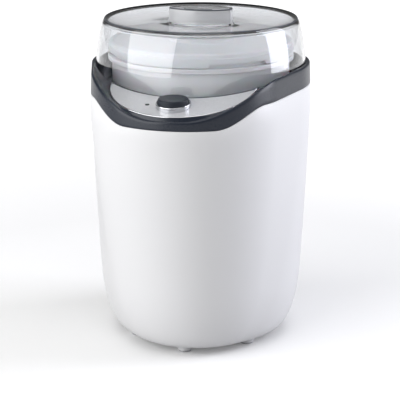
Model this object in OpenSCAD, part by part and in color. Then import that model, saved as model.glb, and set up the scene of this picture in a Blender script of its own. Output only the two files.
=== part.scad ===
// Single-vessel yogurt maker: an egg-shaped casing with a sloping control panel,
// a heated well, a lift-out vessel with a twist-lock lid and a clear outer cover.
// The origin is the bottom centre of the bounding box, +Z is up and the front faces -Y.

/* [Body] */
// Radius of the body's round back, at the collar
back_radius = 79.7; // [79.2:0.1:84]
// How much smaller the radius of the body's round front is than that of its back
front_narrowing = 10.9; // [9:0.1:12]
// How far the front round's centre lies ahead of the vessel's axis
front_shift = 40.9; // [38:0.1:46]
// How far the front round moves back for each millimetre below the collar
front_lean = 0.149; // [0.1:0.001:0.17]
// How much the wall draws in for each millimetre below the collar
wall_draft = 0.03; // [0.01:0.005:0.04]
// How much the wall curves in, per square millimetre below the collar
wall_bulge = 0.0001; // [0:0.00005:0.0001]
// Height of the collar's lower edge at the front
collar_line = 175.4; // [165:0.1:185]
// How far the body's turned-under bottom reaches inwards
turn_in = 11.4; // [6:0.2:13]
// How far up the body's turned-under bottom reaches
turn_high = 43.4; // [30:0.2:50]
// Thickness of the casing's wall
casing_wall = 2; // [1.6:0.1:2.1]
// Gap under the body, which is the height of the feet
foot_height = 5.5; // [4:0.1:9]

/* [Collar] */
// Height of the collar's band at the front
band_height = 6.4; // [5.6:0.1:8]
// How far the collar's lower edge rises towards the sides
low_rise = 12.8; // [8:0.2:14]
// How far the collar's upper edge rises towards the sides
high_rise = 21.2; // [18:0.2:24]
// How much the collar leans in for each millimetre of height
collar_lean = 0.04; // [0:0.005:0.045]
// How far the clear cover's foot stays inside the body's round back
cover_inset = 4.1; // [4:0.1:4.6]
// Clearance round the outer cover, inside the collar
cover_clearance = 0.3; // [0.25:0.05:0.5]
// Wall of the collar's round inner sleeve
sleeve_wall = 1.1; // [0.9:0.1:1.1]
// Depth of the collar's spigot inside the casing
spigot_depth = 6.4; // [5:0.2:9]

/* [Control panel] */
// Slope of the control panel, in degrees
panel_tilt = 12.94; // [11:0.1:14]
// Height of the panel's front edge above the collar's lower edge
panel_rise = 8.7; // [8.2:0.1:9.4]
// Radius of the panel's curved front edge
panel_radius = 49.9; // [48:0.1:50.2]
// Width of the collar in front of the panel's trim
panel_border = 2.7; // [2.2:0.1:3.6]
// Thickness of the panel
panel_thickness = 2; // [1.5:0.1:2.4]
// Width of the bright trim round the panel
trim_width = 1.1; // [0.8:0.1:1.3]
// Distance of the button from the front of the panel's trim, along the ground
button_inset = 18; // [16.2:0.1:18.4]
// Radius of the button's cap
button_radius = 10.75; // [9:0.05:11]
// How far the middle of the button's top stands above the panel
button_height = 5.5; // [5:0.1:7]
// Angle between the button's top and the panel, in degrees: the top lies flatter than the panel
button_slant = 10; // [0:0.5:12]
// How far the button is pressed
button_travel = 1.2; // [1:0.1:1.4]
// Clearance round the button
button_clearance = 0.3; // [0.2:0.05:0.4]
// Wall of the bezel round the button
bezel_wall = 0.95; // [0.8:0.05:1]
// Height of the bezel at its middle
bezel_height = 2.6; // [2.3:0.1:3]
// Angle between the bezel's rim and the panel, in degrees
bezel_slant = 5; // [0:0.5:6]
// Sideways distance of the indicator from the button
indicator_offset = 18; // [16:0.5:19]
// Radius of the indicator
indicator_radius = 1.5; // [1.2:0.1:1.8]
// Depth of the small board below the panel
panel_board_depth = 13; // [12:0.2:14]

/* [Vessel] */
// Clearance between the vessel and the heating well
vessel_clearance = 2.2; // [1.4:0.1:3.4]
// Wall of the vessel
vessel_wall = 2; // [1.5:0.1:2.5]
// How far the vessel's mouth stands above the well's flange
vessel_stand = 30.6; // [28:0.1:33]
// How far the vessel's bead stands out
bead_width = 2.8; // [2:0.1:3.5]
// Height of the vessel's bead
bead_height = 3.8; // [3:0.1:5]
// Height of the vessel's neck, above the bead
neck_height = 6; // [5.6:0.1:7]
// Clearance between the neck and the twist-lock lid
lock_clearance = 0.4; // [0.3:0.05:0.5]
// How far the lock's lugs stand out
lug_width = 1.4; // [1:0.1:1.6]
// Wall of the vessel lid's skirt
lid_skirt_wall = 1.6; // [1.2:0.1:2]
// Radius of the grip on the vessel's lid
grip_radius = 23.6; // [20:0.1:26]
// Height of the grip on the vessel's lid
grip_height = 3.6; // [3:0.1:4.4]

/* [Outer cover] */
// How much smaller the radius of the cover's sharp top edge is than that of its foot
cover_taper = 6.8; // [5.5:0.1:8.5]
// Gap between the grip on the vessel's lid and the cover above it
cover_headroom = 5.8; // [4:0.1:9]
// Wall of the cover
cover_wall = 1.8; // [1.4:0.1:2]
// Width of the cover's hollow bar-shaped knob
knob_width = 45; // [40:0.5:48]
// Depth of the knob at its middle
knob_depth = 24.8; // [22:0.2:28]
// Radius of the knob's bulging front and back
knob_round = 34.3; // [32:0.1:40]
// How far the knob's top stands above the cover's top edge
knob_rise = 6.8; // [6:0.1:9]
// How far the middle of the cover's top is sunk below its edge
dish_depth = 5; // [4:0.1:5.2]
// Radius of the steam vent in the knob
vent_radius = 2; // [1.5:0.1:3]

/* [Heating well] */
// Width of the flange that the well hangs from
flange_width = 9.4; // [9:0.1:10]
// Thickness of the well's metal
well_wall = 1.2; // [0.8:0.1:1.3]
// Height of the well's floor
well_floor = 34; // [33:0.1:38]
// Rounding at the foot of the well
well_fillet = 10; // [6:0.5:12]
// Height of the well's flange above the collar's lower edge
flange_rise = 8.6; // [7.4:0.1:9.2]
// Thickness of the heating band
heater_thickness = 1.2; // [0.8:0.1:1.3]
// Width of the heating band
heater_width = 40; // [30:1:60]
// Height of the heating band's lower edge
heater_foot = 48; // [46:1:60]
// Thickness of the insulating sleeve
sleeve_thickness = 2; // [1.5:0.1:2.1]

/* [Base and mains inlet] */
// Thickness of the base plate
base_thickness = 2.5; // [2:0.1:3]
// Radius of each foot
foot_radius = 5.5; // [5:0.1:6.5]
// Thickness of the soft pad under each foot
pad_thickness = 1.2; // [1:0.1:2]
// Radius of the cord hole through the inlet gland
gland_bore = 3.6; // [3:0.1:4]
// Length of the inlet gland
gland_length = 16; // [14:0.5:17]
// Height of the inlet gland
gland_height = 20; // [19:0.5:21]
// Radius of the fixing screws' shanks
screw_radius = 1.5; // [1.2:0.1:1.6]
// Radius of each internal lead
lead_radius = 1.1; // [0.8:0.1:1.2]

/* [Hidden] */
$fn = 96;
// A cut runs this far past the face that it opens
over = 1;
// Pieces that rest on one another without being joined keep this gap
seat_gap = 0.2;
// Screws stand this far off the walls of their holes
hole_play = 0.15;
// The collar stands this far off the casing's edge, as a fine seam
seam = 0.12;

// Radii that follow the body's, each a wall or a clearance inside the last
front_radius = back_radius - front_narrowing;
cover_radius = back_radius - cover_inset;
well_radius = cover_radius - flange_width;
vessel_radius = well_radius - vessel_clearance;
cover_top_radius = cover_radius - cover_taper;
// The vessel's axis stands behind the middle of the bounding box
front_reach = front_radius + front_shift;
axis_y = (front_reach - back_radius) / 2;
// The panel's places, from the vessel's axis forwards
panel_reach = front_reach - panel_border;
panel_shift = panel_reach - panel_radius - trim_width;
button_reach = panel_reach - button_inset;

// Heights
turn_top = foot_height + turn_high;
base_top = foot_height + base_thickness;
rim_height = collar_line + band_height + high_rise;
panel_front_height = collar_line + panel_rise;
flange_top = collar_line + flange_rise;
flange_bottom = flange_top - 2;
shelf_bottom = flange_bottom - 3;
spigot_foot = collar_line - spigot_depth;
web_bottom = collar_line - 3.4;
web_top = web_bottom + 2.5;
vessel_foot = well_floor + seat_gap;
mouth_height = flange_top + vessel_stand;
neck_foot = mouth_height - neck_height;
bead_foot = neck_foot - bead_height;
cover_foot = flange_top + seat_gap;
well_bottom = well_floor - well_wall;

// Radii
sleeve_radius = cover_radius + cover_clearance;
sleeve_outer = sleeve_radius + sleeve_wall;
well_outer = well_radius + well_wall;
flange_radius = cover_radius;
shelf_radius = well_outer + 2.4;
heater_inner = well_outer + 0.05;
heater_outer = heater_inner + heater_thickness;
clamp_thickness = 0.6;
insulation_inner = heater_outer + clamp_thickness + 0.25;
insulation_outer = insulation_inner + sleeve_thickness;
bezel_inner = button_radius + button_clearance;
bezel_outer = bezel_inner + bezel_wall;
trim_radius = panel_radius + 0.05 + trim_width;
pocket_radius = trim_radius + 0.3;
ledge_width = 4;

// ---------- The egg-shaped outline ----------

// Points along the right half of the front round and along the right half of the back round
front_steps = 14;
back_steps = 18;
ring_count = 2 * (front_steps + back_steps) + 2;
// Number of heights along the straight wall and along the turned-under bottom
wall_steps = 4;
turn_steps = 7;

function below_collar(z) = max(0, collar_line - z);
function above_collar(z) = max(0, z - collar_line);
function turn_inset(z) = z >= turn_top ? 0
    : turn_in * (1 - sqrt(max(0, 1 - pow((turn_top - z) / turn_high, 2))));
function wall_inset(z) = wall_draft * below_collar(z) + wall_bulge * pow(below_collar(z), 2)
    + collar_lean * above_collar(z) + turn_inset(z);
function shift_at(z) = front_shift - front_lean * below_collar(z);
// The front and back rounds meet their common tangent at this angle from the front
function meet_angle(z) = acos((back_radius - front_radius) / shift_at(z));
function on_front(k) = k <= front_steps || k > front_steps + 1 + 2 * back_steps;
// The direction that the wall faces at point k, in degrees from the front, 0 to 360
function facing(k, z) =
    let (m = meet_angle(z), first_back = front_steps + 1, last_back = first_back + 2 * back_steps)
    k <= front_steps ? m * k / front_steps
    : k <= last_back ? m + (360 - 2 * m) * (k - first_back) / (2 * back_steps)
    : 360 - m + m * (k - last_back - 1) / front_steps;
// The same direction without its side: 0 at the front, 180 at the back
function side_angle(k) = let (a = facing(k, collar_line)) a > 180 ? 360 - a : a;
function outline_point(k, z, inset = 0) =
    let (a = facing(k, z), d = wall_inset(z) + inset)
    on_front(k)
        ? [(front_radius - d) * sin(a), axis_y - shift_at(z) - (front_radius - d) * cos(a)]
        : [(back_radius - d) * sin(a), axis_y - (back_radius - d) * cos(a)];
function raise(p, z) = [p[0], p[1], z];
function level_ring(z, inset = 0) = [for (k = [0:ring_count - 1]) raise(outline_point(k, z, inset), z)];
function outline_at(z, inset = 0) = [for (k = [0:ring_count - 1]) outline_point(k, z, inset)];

// The collar's two edges climb in a smooth wave from the front to the sides
function ease(t) = let (u = min(1, max(0, t))) u * u * (3 - 2 * u);
function low_edge(k) = collar_line + low_rise * ease((side_angle(k) - 27) / 34);
function high_edge(k) = collar_line + band_height + high_rise * ease((side_angle(k) - 10) / 65);
function low_ring(inset, lift = 0) =
    [for (k = [0:ring_count - 1]) raise(outline_point(k, low_edge(k) + lift, inset), low_edge(k) + lift)];
function high_ring(inset, lift = 0) =
    [for (k = [0:ring_count - 1]) raise(outline_point(k, high_edge(k), inset), high_edge(k) + lift)];

// A closed skin through rings of points: each ring joins the next, and the last joins the first
module ring_skin(rings) {
    n = len(rings);
    m = len(rings[0]);
    points = [for (r = rings) for (p = r) p];
    faces = [for (i = [0:n - 1]) for (k = [0:m - 1])
        let (a = i * m, b = ((i + 1) % n) * m, j = (k + 1) % m)
        for (f = [[a + k, b + k, b + j], [a + k, b + j, a + j]]) f];
    polyhedron(points, faces, convexity = 8);
}

// A solid through rings of points, closed flat at its two ends
module ring_solid(rings) {
    n = len(rings);
    m = len(rings[0]);
    points = [for (r = rings) for (p = r) p];
    sides = [for (i = [0:n - 2]) for (k = [0:m - 1])
        let (a = i * m, b = (i + 1) * m, j = (k + 1) % m)
        for (f = [[a + k, b + k, b + j], [a + k, b + j, a + j]]) f];
    polyhedron(points, concat(sides, [[for (k = [0:m - 1]) k]],
        [[for (k = [m - 1:-1:0]) (n - 1) * m + k]]), convexity = 4);
}

// ---------- The sloping panel's frame ----------

function panel_height(reach) = panel_front_height + tan(panel_tilt) * (panel_reach - reach);

// Puts children on the panel's face, with their own +Z along its outward normal
module at_panel(x = 0, reach = button_reach) {
    translate([x, axis_y - reach, panel_height(reach)])
        rotate([panel_tilt, 0, 0])
            children();
}

// A slab that is parallel to the panel, between two heights above its face
module panel_slab(low, high) {
    at_panel()
        translate([-120, -120, low])
            cube([240, 240, high - low]);
}

// An upright cylinder through the whole panel, round the middle of its curved edge
module panel_column(radius) {
    translate([0, axis_y - panel_shift, panel_front_height - 30])
        cylinder(r = radius, h = 60, $fn = 180);
}

// An upright cylinder round the vessel's axis
module axis_column(radius, low, high) {
    translate([0, axis_y, low])
        cylinder(r = radius, h = high - low, $fn = 180);
}

module on_axis(z = 0) {
    translate([0, axis_y, z])
        children();
}

// A screw that points up, with its head below z = 0
module screw(length, shank = screw_radius, head = 2 * screw_radius, head_height = 1.6) {
    cylinder(r = shank, h = length, $fn = 32);
    translate([0, 0, -head_height])
        cylinder(r = head, h = head_height, $fn = 32);
}

// ---------- Casing and base ----------

turn_heights = [for (i = [0:turn_steps]) turn_top - turn_high * sin(90 * i / turn_steps)];
wall_heights = [for (i = [1:wall_steps]) collar_line + (turn_top - collar_line) * i / wall_steps];
body_heights = concat([collar_line - 0.01], wall_heights, [for (i = [1:turn_steps]) turn_heights[i]]);
lip_width = 3;

// One foot at the front, two beside it and two at the back. Each has its direction from the
// front and how far it stays inside the body's round back
foot_spots = [[0, 23.1], [51.8, 27.5], [-51.8, 27.5], [138.2, 28.7], [-138.2, 28.7]];
foot_places = [for (s = foot_spots) let (r = back_radius - s[1]) [r * sin(s[0]), -r * cos(s[0])]];
boss_radius = 3.6;
boss_top = well_bottom - 4.8;
// Two pillars inside the casing take the collar's screws
pillar_steps = 11;
pillar_inset = 6.6;
pillar_radius = 4.8;
pillar_height = 8;
pillar_top = spigot_foot - seam;

module at_feet(z = 0) {
    for (p = foot_places)
        translate([p[0], axis_y + p[1], z])
            children();
}

module at_collar_screws(z) {
    for (side = [-1, 1])
        translate([side * outline_point(pillar_steps, collar_line, pillar_inset)[0],
            outline_point(pillar_steps, collar_line, pillar_inset)[1], z])
            children();
}

module casing_shell() {
    rings = concat(
        [for (i = [len(body_heights) - 1:-1:0]) level_ring(body_heights[i])],
        [low_ring(0)],
        [low_ring(casing_wall)],
        [for (i = [0:len(body_heights) - 2]) level_ring(body_heights[i], casing_wall)],
        [level_ring(foot_height, lip_width)]);
    ring_skin(rings);
}

// The screw bosses stand on ribs that run out to the casing's wall
module casing_bosses() {
    intersection() {
        union() {
            for (p = foot_places) {
                away = atan2(p[1], p[0]);
                translate([p[0], axis_y + p[1], base_top + hole_play])
                    cylinder(r = boss_radius, h = boss_top - base_top - hole_play, $fn = 48);
                translate([p[0], axis_y + p[1], base_top + 2])
                    rotate([0, 0, away])
                        translate([0, -1, 0])
                            cube([40, 2, boss_top - base_top - 2]);
            }
        }
        ring_solid([for (z = [base_top, base_top + 4, base_top + 9, base_top + 15, boss_top + 2])
            level_ring(z, casing_wall / 2)]);
    }
}

// A round pad on the back wall gives the inlet gland a flat seat
module gland_seat() {
    translate([0, axis_y + gland_seat_reach, gland_height])
        rotate([90, 0, 0])
            cylinder(r = gland_bore + 5, h = 7, $fn = 64);
}

module outer_casing() {
    color([0.95, 0.95, 0.96])
    difference() {
        union() {
            casing_shell();
            casing_bosses();
            at_collar_screws(pillar_top - pillar_height)
                cylinder(r = pillar_radius, h = pillar_height, $fn = 48);
            gland_seat();
        }
        at_feet(base_top)
            cylinder(r = screw_radius + hole_play, h = 14, $fn = 32);
        at_collar_screws(pillar_top - pillar_height + 1)
            cylinder(r = screw_radius + hole_play, h = pillar_height + over, $fn = 32);
        on_axis(gland_height)
            rotate([-90, 0, 0])
                cylinder(r = gland_bore + 2.4 + hole_play, h = back_radius + over, $fn = 64);
    }
}

gland_end = back_radius - 0.4;
gland_flange = 2.6;
gland_nozzle = 4;
gland_seat_reach = gland_end - gland_nozzle - gland_flange;

clamp_post_gap = 9;
clamp_reach = gland_end - gland_length - 17.3;
clamp_post_height = 8;
block_size = [26, 16, 10];
block_reach = clamp_reach - 24;

module base_plate() {
    color([0.86, 0.86, 0.87])
    difference() {
        union() {
            translate([0, 0, foot_height])
                linear_extrude(base_thickness)
                    polygon(outline_at(foot_height, lip_width + 0.3));
            for (side = [-1, 1])
                translate([side * clamp_post_gap, axis_y + clamp_reach, base_top - over])
                    cylinder(r = 3.5, h = clamp_post_height + over, $fn = 48);
        }
        at_feet(foot_height - over)
            cylinder(r = screw_radius + hole_play, h = base_thickness + 2 * over, $fn = 32);
        for (side = [-1, 1])
            translate([side * clamp_post_gap, axis_y + clamp_reach, base_top])
                cylinder(r = screw_radius - 0.2, h = clamp_post_height + over, $fn = 32);
        for (x = [-2:2])
            translate([x * 7 - 1, axis_y - 22, foot_height - over])
                cube([2, 22, base_thickness + 2 * over]);
    }
}

head_room = 1.8;

module feet() {
    color([0.9, 0.9, 0.91])
    at_feet(pad_thickness)
        difference() {
            cylinder(r = foot_radius, h = foot_height - pad_thickness, $fn = 48);
            translate([0, 0, -over])
                cylinder(r = screw_radius + hole_play, h = foot_height, $fn = 32);
            translate([0, 0, -over])
                cylinder(r = 2 * screw_radius + hole_play, h = head_room + over, $fn = 32);
        }
}

module foot_pads() {
    color([0.75, 0.76, 0.77])
    at_feet(0)
        cylinder(r = foot_radius - 0.8, h = pad_thickness, $fn = 48);
}

module base_screws() {
    color([0.7, 0.7, 0.72])
    at_feet(pad_thickness + head_room)
        screw(foot_height - pad_thickness - head_room + base_thickness + 10);
}

// ---------- Collar ----------

// Where the collar's shoulder ends inwards: along the panel's pocket in front, along the sleeve behind
shoulder_radius = (sleeve_radius + sleeve_outer) / 2;
tip_facing = 57;
tip_turn = acos((pow(shoulder_radius, 2) - pow(panel_shift, 2) - pow(pocket_radius, 2))
    / (2 * panel_shift * pocket_radius));
tip_angle = atan2(pocket_radius * sin(tip_turn), panel_shift + pocket_radius * cos(tip_turn));
function shoulder_angle(a) = a > 90 ? a : tip_angle + (90 - tip_angle) * (a - tip_facing) / (90 - tip_facing);
function shoulder_point(k) =
    let (a = side_angle(k), side = facing(k, collar_line) > 180 ? -1 : 1,
        turn = tip_turn * a / tip_facing, angle = shoulder_angle(a))
    a < tip_facing
        ? [side * pocket_radius * sin(turn), axis_y - panel_shift - pocket_radius * cos(turn)]
        : [side * shoulder_radius * sin(angle), axis_y - shoulder_radius * cos(angle)];
// The shoulder's inner edge stands a little above the panel's slope, and no higher than the rim
shoulder_lift = 0.4;
function shoulder_height(k) =
    min(panel_height(axis_y - shoulder_point(k)[1]) + shoulder_lift, rim_height);
function shoulder_ring(drop) =
    [for (k = [0:ring_count - 1]) raise(shoulder_point(k), shoulder_height(k) - drop)];
// The spigot is thinner beside the sleeve than in front
function spigot_inset(k) = casing_wall + 1.6 - 0.7 * ease((side_angle(k) - 50) / 25);
shoulder_depth = 4.6;
spigot_play = 0.2;

module collar_skin() {
    rings = [
        low_ring(0, seam),
        high_ring(0, -1),
        high_ring(0.35, -0.3),
        high_ring(1, 0),
        shoulder_ring(0),
        shoulder_ring(shoulder_depth),
        [for (k = [0:ring_count - 1])
            raise(outline_point(k, low_edge(k) + 2, spigot_inset(k)), low_edge(k) + 2)],
        [for (k = [0:ring_count - 1]) raise(outline_point(k, spigot_foot, spigot_inset(k)), spigot_foot)],
        level_ring(spigot_foot, casing_wall + spigot_play),
        low_ring(casing_wall + spigot_play, seam)];
    ring_skin(rings);
}

// The round sleeve that the cover drops into, with the shelf that carries the well
module collar_sleeve() {
    intersection() {
        on_axis()
            rotate_extrude($fn = 180)
                polygon([[sleeve_radius, web_bottom], [sleeve_outer, web_bottom],
                    [sleeve_outer, rim_height - 0.1], [sleeve_radius, rim_height - 0.1],
                    [sleeve_radius, flange_bottom], [shelf_radius, flange_bottom],
                    [shelf_radius, shelf_bottom], [sleeve_radius, shelf_bottom]]);
        panel_slab(-60, -0.05);
    }
}

// The flat web that ties the sleeve to the spigot, open under the panel
module collar_web() {
    difference() {
        translate([0, 0, web_bottom])
            linear_extrude(web_top - web_bottom)
                polygon(outline_at(web_bottom, casing_wall + 0.9));
        axis_column(sleeve_radius + 0.3, web_bottom - over, web_top + over);
        panel_column(pocket_radius - ledge_width);
    }
}

// Two narrow ledges carry the panel: along the pocket's edge and along the sleeve
module panel_ledges() {
    intersection() {
        panel_slab(-panel_thickness - 1.8, -panel_thickness - 0.02);
        difference() {
            panel_column(pocket_radius + 0.4);
            axis_column(sleeve_outer - 0.3, web_bottom, rim_height + 20);
            difference() {
                panel_column(pocket_radius - ledge_width);
                axis_column(sleeve_outer + 1.6, web_bottom, rim_height + 20);
            }
        }
    }
}

module collar_board_posts() {
    at_board_posts(control_board_top)
        cylinder(r = board_post_radius, h = arm_top - control_board_top + 0.3, $fn = 48);
    at_board_posts(arm_top - arm_thickness)
        translate([0, -arm_width / 2, 0])
            cube([arm_length, arm_width, arm_thickness]);
}

module collar() {
    color([0.22, 0.24, 0.27])
    difference() {
        union() {
            collar_skin();
            collar_sleeve();
            collar_web();
            panel_ledges();
            collar_board_posts();
            at_collar_screws(spigot_foot)
                cylinder(r = pillar_radius - 1.4, h = web_top - spigot_foot, $fn = 48);
        }
        at_collar_screws(spigot_foot - over)
            cylinder(r = screw_radius + hole_play, h = web_top - spigot_foot + 2 * over, $fn = 32);
        at_board_posts(control_board_top - over)
            cylinder(r = screw_radius + hole_play, h = arm_top - control_board_top + 2 * over, $fn = 32);
        at_well_screws(shelf_bottom - over)
            cylinder(r = 1.2 + hole_play, h = flange_bottom - shelf_bottom + 2 * over, $fn = 32);
    }
}

module collar_screws() {
    color([0.7, 0.7, 0.72])
    at_collar_screws(web_top)
        rotate([180, 0, 0])
            screw(web_top - spigot_foot + 6, screw_radius, 2.2);
}

// ---------- Control panel ----------

stem_radius = 2.1;
hub_radius = 5.5;
post_radius = 2.2;
board_thickness = 1.6;
// Places of the small board's two posts, from the button along the panel
post_places = [[-indicator_offset - 5.5, 2], [9.4, 2]];
switch_size = 12;
switch_top = -5;
switch_bore = stem_radius + 0.3;

module at_posts(depth) {
    at_panel()
        for (p = post_places)
            translate([p[0], p[1], -depth])
                children();
}

module control_panel() {
    color([0.74, 0.75, 0.77])
    difference() {
        union() {
            intersection() {
                difference() {
                    panel_column(panel_radius);
                    axis_column(sleeve_outer + 0.15, web_bottom, rim_height + 20);
                }
                panel_slab(-panel_thickness, 0);
            }
            at_posts(panel_board_depth)
                cylinder(r = post_radius, h = panel_board_depth - panel_thickness + 0.5, $fn = 32);
        }
        at_panel()
            translate([0, 0, -panel_thickness - over])
                cylinder(r = hub_radius + button_clearance, h = panel_thickness + 2 * over, $fn = 64);
        at_panel()
            translate([-indicator_offset, 0, -panel_thickness - over])
                cylinder(r = indicator_radius + 0.1, h = panel_thickness + 2 * over, $fn = 32);
        at_posts(panel_board_depth + over)
            cylinder(r = 1, h = 8 + over, $fn = 24);
    }
}

module panel_trim() {
    color([0.85, 0.86, 0.88])
    intersection() {
        difference() {
            panel_column(trim_radius);
            panel_column(panel_radius + 0.05);
            axis_column(sleeve_outer + 0.15, web_bottom, rim_height + 20);
        }
        panel_slab(-panel_thickness, 0.5);
    }
}

// Cuts off what stands above a plane that is slanted towards the front, in the panel's frame
module slanted_cut(height, slant) {
    rotate([-slant, 0, 0])
        translate([-30, -30, height * cos(slant)])
            cube([60, 60, 20]);
}

module button_bezel() {
    color([0.8, 0.81, 0.83])
    at_panel()
        difference() {
            rotate_extrude()
                polygon([[bezel_inner, 0], [bezel_outer, 0], [bezel_outer - 0.3, bezel_height + 3],
                    [bezel_inner, bezel_height + 3]]);
            slanted_cut(bezel_height, bezel_slant);
        }
}

// The cap's foot stays clear of the panel when it is pressed
cap_foot = button_travel + 0.4;
// How much the cap draws in towards its top
cap_draft = 1.2;
stem_foot = switch_top - 1.2;

module button_cap() {
    color([0.2, 0.22, 0.25])
    at_panel()
        difference() {
            rotate_extrude()
                polygon([[0, stem_foot], [stem_radius, stem_foot], [stem_radius, -1.5], [hub_radius, -1.5],
                    [hub_radius, cap_foot], [button_radius, cap_foot], [button_radius, cap_foot + 1],
                    [button_radius - cap_draft, button_height + 3], [0, button_height + 3]]);
            slanted_cut(button_height, button_slant);
        }
}

module push_switch() {
    color([0.15, 0.15, 0.17])
    at_panel()
        difference() {
            translate([-switch_size / 2, -switch_size / 2, -panel_board_depth])
                cube([switch_size, switch_size, panel_board_depth + switch_top]);
            translate([0, 0, switch_top - button_travel - 2.6])
                cylinder(r = switch_bore, h = button_travel + 2.6 + over, $fn = 48);
        }
}

lens_length = panel_thickness + 0.2;
led_gap = 0.1;

module indicator_lens() {
    color([0.1, 0.1, 0.1])
    at_panel(-indicator_offset)
        translate([0, 0, 0.2 - lens_length])
            cylinder(r = indicator_radius, h = lens_length, $fn = 32);
}

module indicator_led() {
    color([0.8, 0.2, 0.15])
    at_panel(-indicator_offset)
        union() {
            translate([0, 0, -panel_thickness - led_gap - 5])
                cylinder(r = 1.5, h = 5, $fn = 32);
            translate([0, 0, -panel_thickness - led_gap - 5])
                cylinder(r = 1.9, h = 1, $fn = 32);
            for (side = [-1, 1])
                translate([side * 0.7 - 0.25, -0.25, -panel_board_depth])
                    cube([0.5, 0.5, panel_board_depth - panel_thickness - led_gap - 4.5]);
        }
}

module panel_board() {
    color([0.12, 0.35, 0.2])
    difference() {
        at_panel()
            translate([post_places[0][0] - 2.6, -switch_size / 2 - 0.4, -panel_board_depth - board_thickness])
                cube([post_places[1][0] - post_places[0][0] + 5.2, switch_size + 0.8, board_thickness]);
        at_posts(panel_board_depth + board_thickness + over)
            cylinder(r = 1.15, h = board_thickness + 2 * over, $fn = 24);
    }
}

module panel_board_screws() {
    color([0.7, 0.7, 0.72])
    at_posts(panel_board_depth + board_thickness)
        screw(board_thickness + 5, 0.9, 2, 1);
}

// ---------- Control board ----------

board_drop = 10;
control_board_top = web_bottom - board_drop;
board_half = 44;
board_front_radius = front_radius - wall_inset(control_board_top) - casing_wall - 4;
board_front_shift = shift_at(control_board_top);
board_back_radius = insulation_outer + 2.5;
// Two posts under the collar's web carry the board, on the front round
board_post_radius = 3.2;
board_post_facing = 41.9;
board_post_ring = board_front_radius - 8.5;
arm_length = 7;
arm_width = 5;
arm_thickness = 1.8;
arm_top = web_top - 0.4;
relay_size = [19, 15, 15];
relay_reach = front_reach - 14.7;
capacitor_radius = 5;
capacitor_height = 16;

module at_board_posts(z) {
    for (side = [-1, 1])
        translate([0, axis_y - board_front_shift, z])
            rotate([0, 0, side * board_post_facing - 90])
                translate([board_post_ring, 0, 0])
                    children();
}

module control_board() {
    color([0.12, 0.35, 0.2])
    translate([0, 0, control_board_top - board_thickness])
        difference() {
            intersection() {
                translate([0, axis_y - board_front_shift, 0])
                    cylinder(r = board_front_radius, h = board_thickness, $fn = 120);
                translate([-board_half, axis_y - front_reach, -over])
                    cube([2 * board_half, front_reach - 60, board_thickness + 2 * over]);
            }
            on_axis(-over)
                cylinder(r = board_back_radius, h = board_thickness + 2 * over, $fn = 120);
            at_board_posts(-over)
                cylinder(r = screw_radius + hole_play, h = board_thickness + 2 * over, $fn = 32);
        }
}

module board_relay() {
    color([0.1, 0.2, 0.5])
    translate([-relay_size[0] - capacitor_radius, axis_y - relay_reach,
        control_board_top - board_thickness - relay_size[2]])
        cube(relay_size);
}

module board_capacitor() {
    color([0.2, 0.2, 0.22])
    translate([2 * capacitor_radius + 2, axis_y - relay_reach + relay_size[1] / 2,
        control_board_top - board_thickness - capacitor_height])
        cylinder(r = capacitor_radius, h = capacitor_height, $fn = 48);
}

module control_board_screws() {
    color([0.7, 0.7, 0.72])
    at_board_posts(control_board_top - board_thickness)
        screw(board_thickness + board_drop + 2);
}

// ---------- Heating well ----------

well_screw_radius = well_outer + 4.1;
stud_gap = 16;
stud_radius = 1.9;
thermostat_height = 6.3;
clip_thickness = 1;
stud_foot = well_bottom - thermostat_height - clip_thickness - 2.6;

module at_well_screws(z) {
    for (a = [45:90:315])
        on_axis(z)
            rotate([0, 0, a])
                translate([well_screw_radius, 0, 0])
                    children();
}

module at_studs(z) {
    for (side = [-1, 1])
        translate([side * stud_gap, axis_y, z])
            children();
}

// Points of a quarter circle round a centre, from one angle to another
function arc(cx, cy, r, from, to, steps = 8) =
    [for (i = [0:steps]) let (a = from + (to - from) * i / steps) [cx + r * cos(a), cy + r * sin(a)]];

module heating_well() {
    color([0.72, 0.73, 0.75])
    difference() {
        union() {
            on_axis()
                rotate_extrude($fn = 180)
                    polygon(concat([[0, well_bottom]],
                        arc(well_outer - well_fillet, well_bottom + well_fillet, well_fillet, -90, 0),
                        [[well_outer, flange_bottom], [flange_radius, flange_bottom],
                            [flange_radius, flange_top], [well_radius, flange_top]],
                        arc(well_radius - well_fillet, well_floor + well_fillet, well_fillet, 0, -90),
                        [[0, well_floor]]));
            at_studs(stud_foot)
                cylinder(r = stud_radius, h = well_bottom - stud_foot + well_wall / 2, $fn = 32);
        }
        at_well_screws(flange_bottom - over)
            cylinder(r = 1.2 + hole_play, h = 2 + 2 * over, $fn = 32);
    }
}

module well_screws() {
    color([0.7, 0.7, 0.72])
    at_well_screws(flange_top)
        rotate([180, 0, 0])
            screw(4.4, 1.2, 2, 1);
}

module heater_band() {
    color([0.75, 0.3, 0.15])
    on_axis(heater_foot)
        difference() {
            cylinder(r = heater_outer, h = heater_width, $fn = 180);
            translate([0, 0, -over])
                cylinder(r = heater_inner, h = heater_width + 2 * over, $fn = 180);
            translate([-2, 0, -over])
                cube([4, heater_outer + over, heater_width + 2 * over]);
        }
}

module heater_clamp() {
    color([0.7, 0.7, 0.72])
    on_axis(heater_foot + heater_width / 2 - 5)
        difference() {
            cylinder(r = heater_outer + 0.05 + clamp_thickness, h = 10, $fn = 180);
            translate([0, 0, -over])
                cylinder(r = heater_outer + 0.05, h = 10 + 2 * over, $fn = 180);
            translate([-4, 0, -over])
                cube([8, heater_outer + 2 * over, 10 + 2 * over]);
        }
}

insulation_foot = heater_foot + 4;
lead_slot = 12;
heater_lead_gap = 7;

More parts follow.
